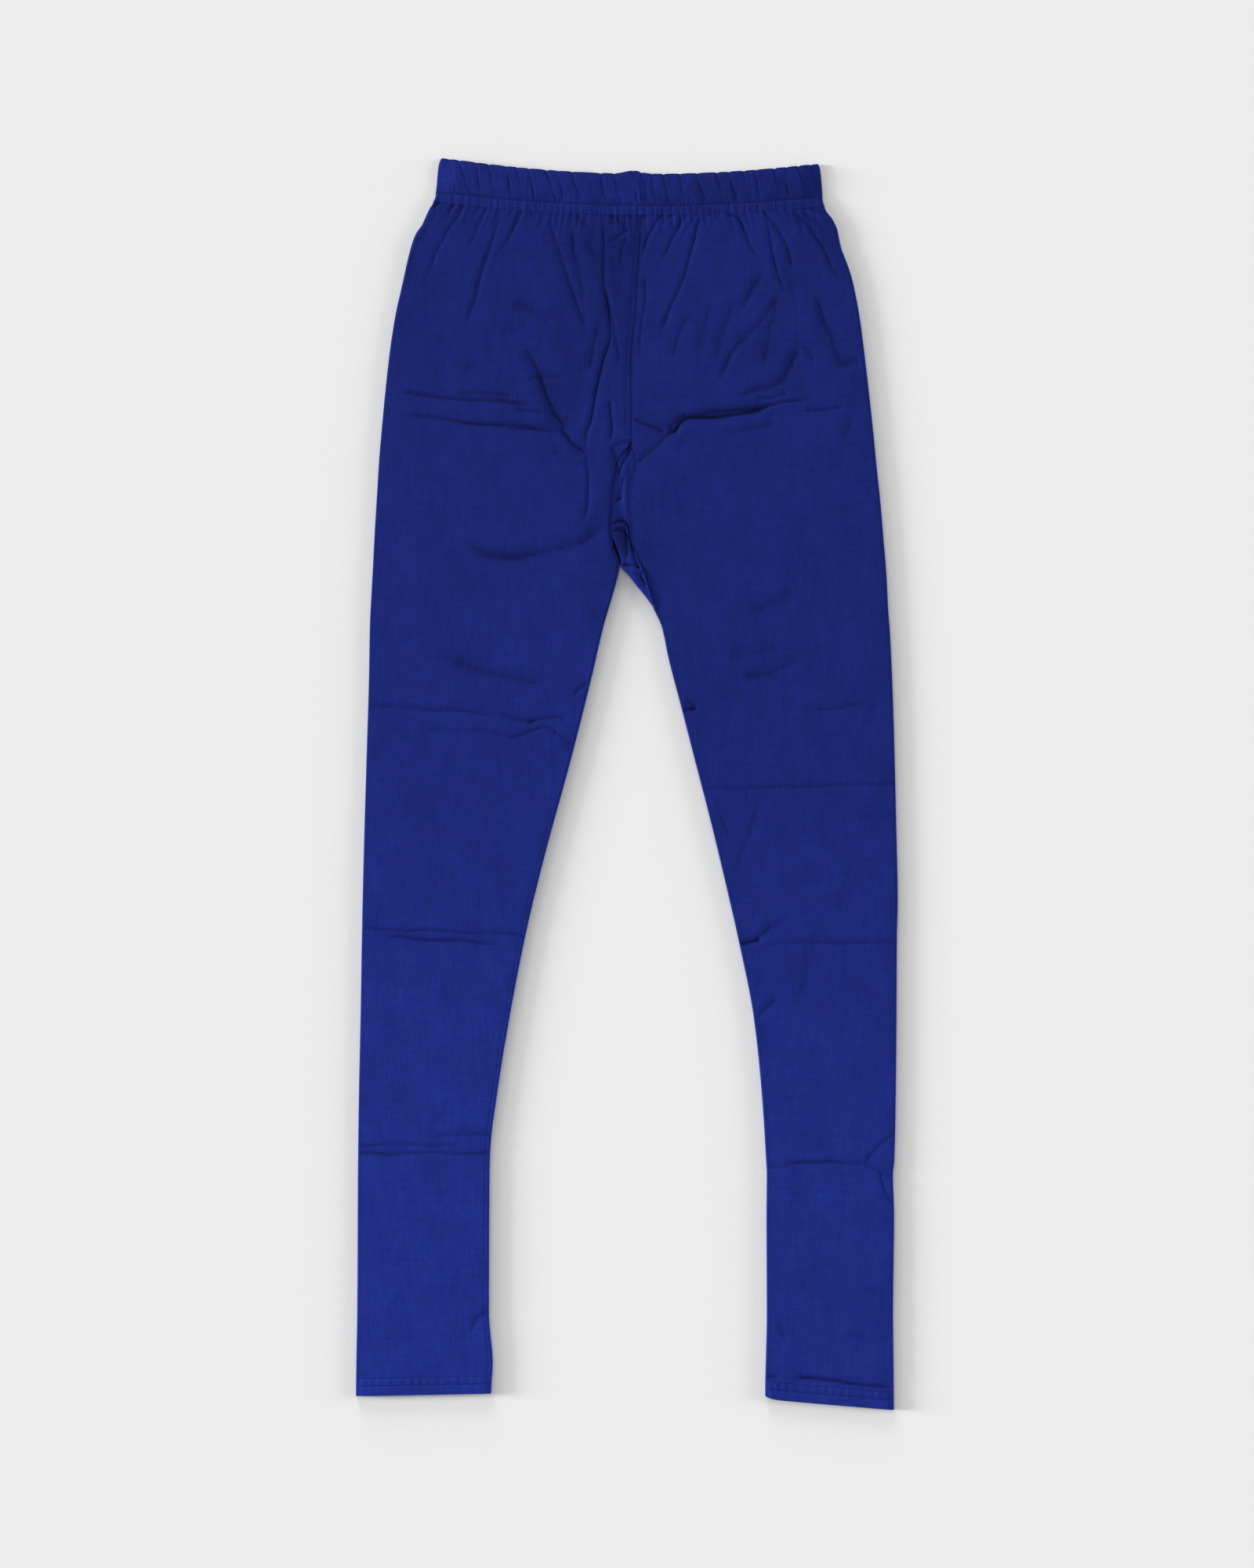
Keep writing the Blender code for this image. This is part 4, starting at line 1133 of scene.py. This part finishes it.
def jersey(name, colour, shades, axis="Y", rib_contrast=0.08):
    """Dyed cotton jersey: fine ribs along the leg, slubs, bars across and a dull sheen.

    shades lists the painted light: how much brighter or darker the colour is painted at places along the
    axis. The folds attribute adds painted shade.
    """
    material, tree, shader = principled(name, CLOTH_FINISH)
    coordinates = node(tree, "ShaderNodeTexCoord")
    place = coordinates.outputs["Object"]
    ribs = stretched_noise(tree, place, (1.0, 0.12, 1.0), 560.0, 1.0)
    bars = stretched_noise(tree, place, (0.12, 1.0, 1.0), 500.0, 2.0)
    patches = stretched_noise(tree, place, (1.0, 0.7, 1.0), 45.0, 4.0)
    slubs = stretched_noise(tree, place, (1.0, 0.25, 1.0), 900.0, 2.0)
    unevenness = stretched_noise(tree, place, (1.0, 0.6, 1.0), 55.0, 3.0)
    split = node(tree, "ShaderNodeSeparateXYZ", Vector=place)
    along = spread(tree, split.outputs[axis], -SHADE_REACH, SHADE_REACH, 0.0, 1.0)
    # painted light: the colour is painted brighter or darker along the axis
    painted_light_curve = node(tree, "ShaderNodeFloatCurve", Value=along)
    curve = painted_light_curve.mapping.curves[0]
    curve.points[0].location = (0.0, 0.5 * shades[0][1])
    curve.points[1].location = (1.0, 0.5 * shades[-1][1])
    for y, level in shades[1:-1]:
        curve.points.new(0.5 * y / SHADE_REACH + 0.5, 0.5 * level)
    painted_light_curve.mapping.update()
    # painted shade in folds, along seams, on bends and under the casing
    folds = node(tree, "ShaderNodeAttribute", attribute_name="folds")
    shaded = spread(tree, folds.outputs["Fac"], 0.0, 1.5, 2.0, 2.0 * (1.0 - 1.5 * FOLD_SHADE))
    level = times(tree, painted_light_curve.outputs["Value"], shaded)
    for noise, contrast in ((ribs, rib_contrast), (bars, BAR_CONTRAST), (patches, PATCH_CONTRAST)):
        level = times(tree, level, spread(tree, noise, *NOISE_RANGE, 1.0 - contrast, 1.0 + contrast))
    dye_and_painted_light(tree, shader, colour, level)
    broad = node(tree, "ShaderNodeBump", Strength=0.5, Distance=0.0012, Height=unevenness)
    fine = node(tree, "ShaderNodeBump", Strength=0.35, Distance=0.0004, Height=times(tree, ribs, slubs),
                Normal=broad.outputs["Normal"])
    tree.links.new(fine.outputs["Normal"], shader.inputs["Normal"])
    return material


def thread(name, colour):
    """Twisted sewing thread."""
    material, tree, shader = principled(name, THREAD_FINISH)
    place = node(tree, "ShaderNodeTexCoord")
    noise = stretched_noise(tree, place.outputs["Object"], (1.0, 1.0, 1.0), 1400.0, 1.0)
    dye_and_painted_light(tree, shader, colour, spread(tree, noise, *NOISE_RANGE, 0.8, 1.25))
    return material


def add_floor():
    """Plain pale floor under the garment."""
    half = FLOOR_HALF
    corners = [(-half, -half), (half, -half), (half, half), (-half, half)]
    data = bpy.data.meshes.new("floor")
    data.from_pydata([(x * MM, y * MM, FLOOR_DROP * MM) for x, y in corners], [], [(0, 1, 2, 3)])
    data.materials.append(principled("floor_paper", PAPER_FINISH)[0])
    add_object("floor", data)


def add_lights():
    """Soft studio light: a pale dome, and low wide lamps from the waist end and both sides."""
    left_over = 1.0
    for name, (compass, height, width, share) in LIGHTS.items():
        lamp = bpy.data.lights.new(name, "SUN")
        lamp.angle = math.radians(width)
        lamp.energy = math.pi * FLOOR_LEVEL * share / math.sin(math.radians(height))
        light = add_object(name, lamp)
        light.rotation_euler = (math.radians(90.0 - height), 0.0, math.radians(180.0 - compass))
        left_over -= share
    world = bpy.data.worlds.new("studio")
    world.use_nodes = True
    background = world.node_tree.nodes["Background"]
    background.inputs["Color"].default_value = (1.0, 1.0, 1.0, 1.0)
    background.inputs["Strength"].default_value = FLOOR_LEVEL * left_over
    bpy.context.scene.world = world


def add_camera():
    """Camera straight above the middle of the photograph's frame."""
    lens = bpy.data.cameras.new("camera")
    lens.lens = 85.0
    lens.sensor_width = 36.0
    camera = add_object("camera", lens)
    camera.location = (*FRAME_MIDDLE, FRAME_HEIGHT * lens.lens / lens.sensor_width)
    bpy.context.scene.camera = camera
    bpy.context.scene.view_settings.view_transform = "Standard"


def main():
    """Build the studio and the garment, hide the parts that it replaces, and attach its pieces to the root.
    """
    add_floor()
    add_lights()
    add_camera()
    blue_thread = thread("blue_thread", THREAD)
    right = make_leg(RIGHT_LEG, jersey("right_leg_jersey", JERSEY, SHADES["right"]))
    left = make_leg(LEFT_LEG, jersey("left_leg_jersey", JERSEY, SHADES["left"]))
    band = make_waistband(jersey("waistband_jersey", BAND_JERSEY, SHADES["band"], "X", 0.16))
    gusset = make_gusset(jersey("gusset_jersey", JERSEY, SHADES["gusset"]))
    beside_right, beside_left = gusset_lines()
    right_stitches = sew("right_hem_stitches", hem_lines(RIGHT_LEG), HEM_STITCH, blue_thread)
    left_stitches = sew("left_hem_stitches", hem_lines(LEFT_LEG), HEM_STITCH, blue_thread)
    seam_stitches = sew("seam_stitches", [topstitch_line(), beside_right], SEAM_STITCH, blue_thread)
    gusset_stitches = sew("gusset_stitches", [beside_left], SEAM_STITCH, blue_thread)
    band_stitches = sew("waistband_stitches", casing_lines(), CASING_STITCH, blue_thread)
    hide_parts("right_leg")
    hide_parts("left_leg")
    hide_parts("waistband")
    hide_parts("gusset")
    for piece in (right, left, gusset, right_stitches, left_stitches, seam_stitches, gusset_stitches):
        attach(piece, "root")
    for piece in (band, band_stitches):
        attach(piece, "root")


main()
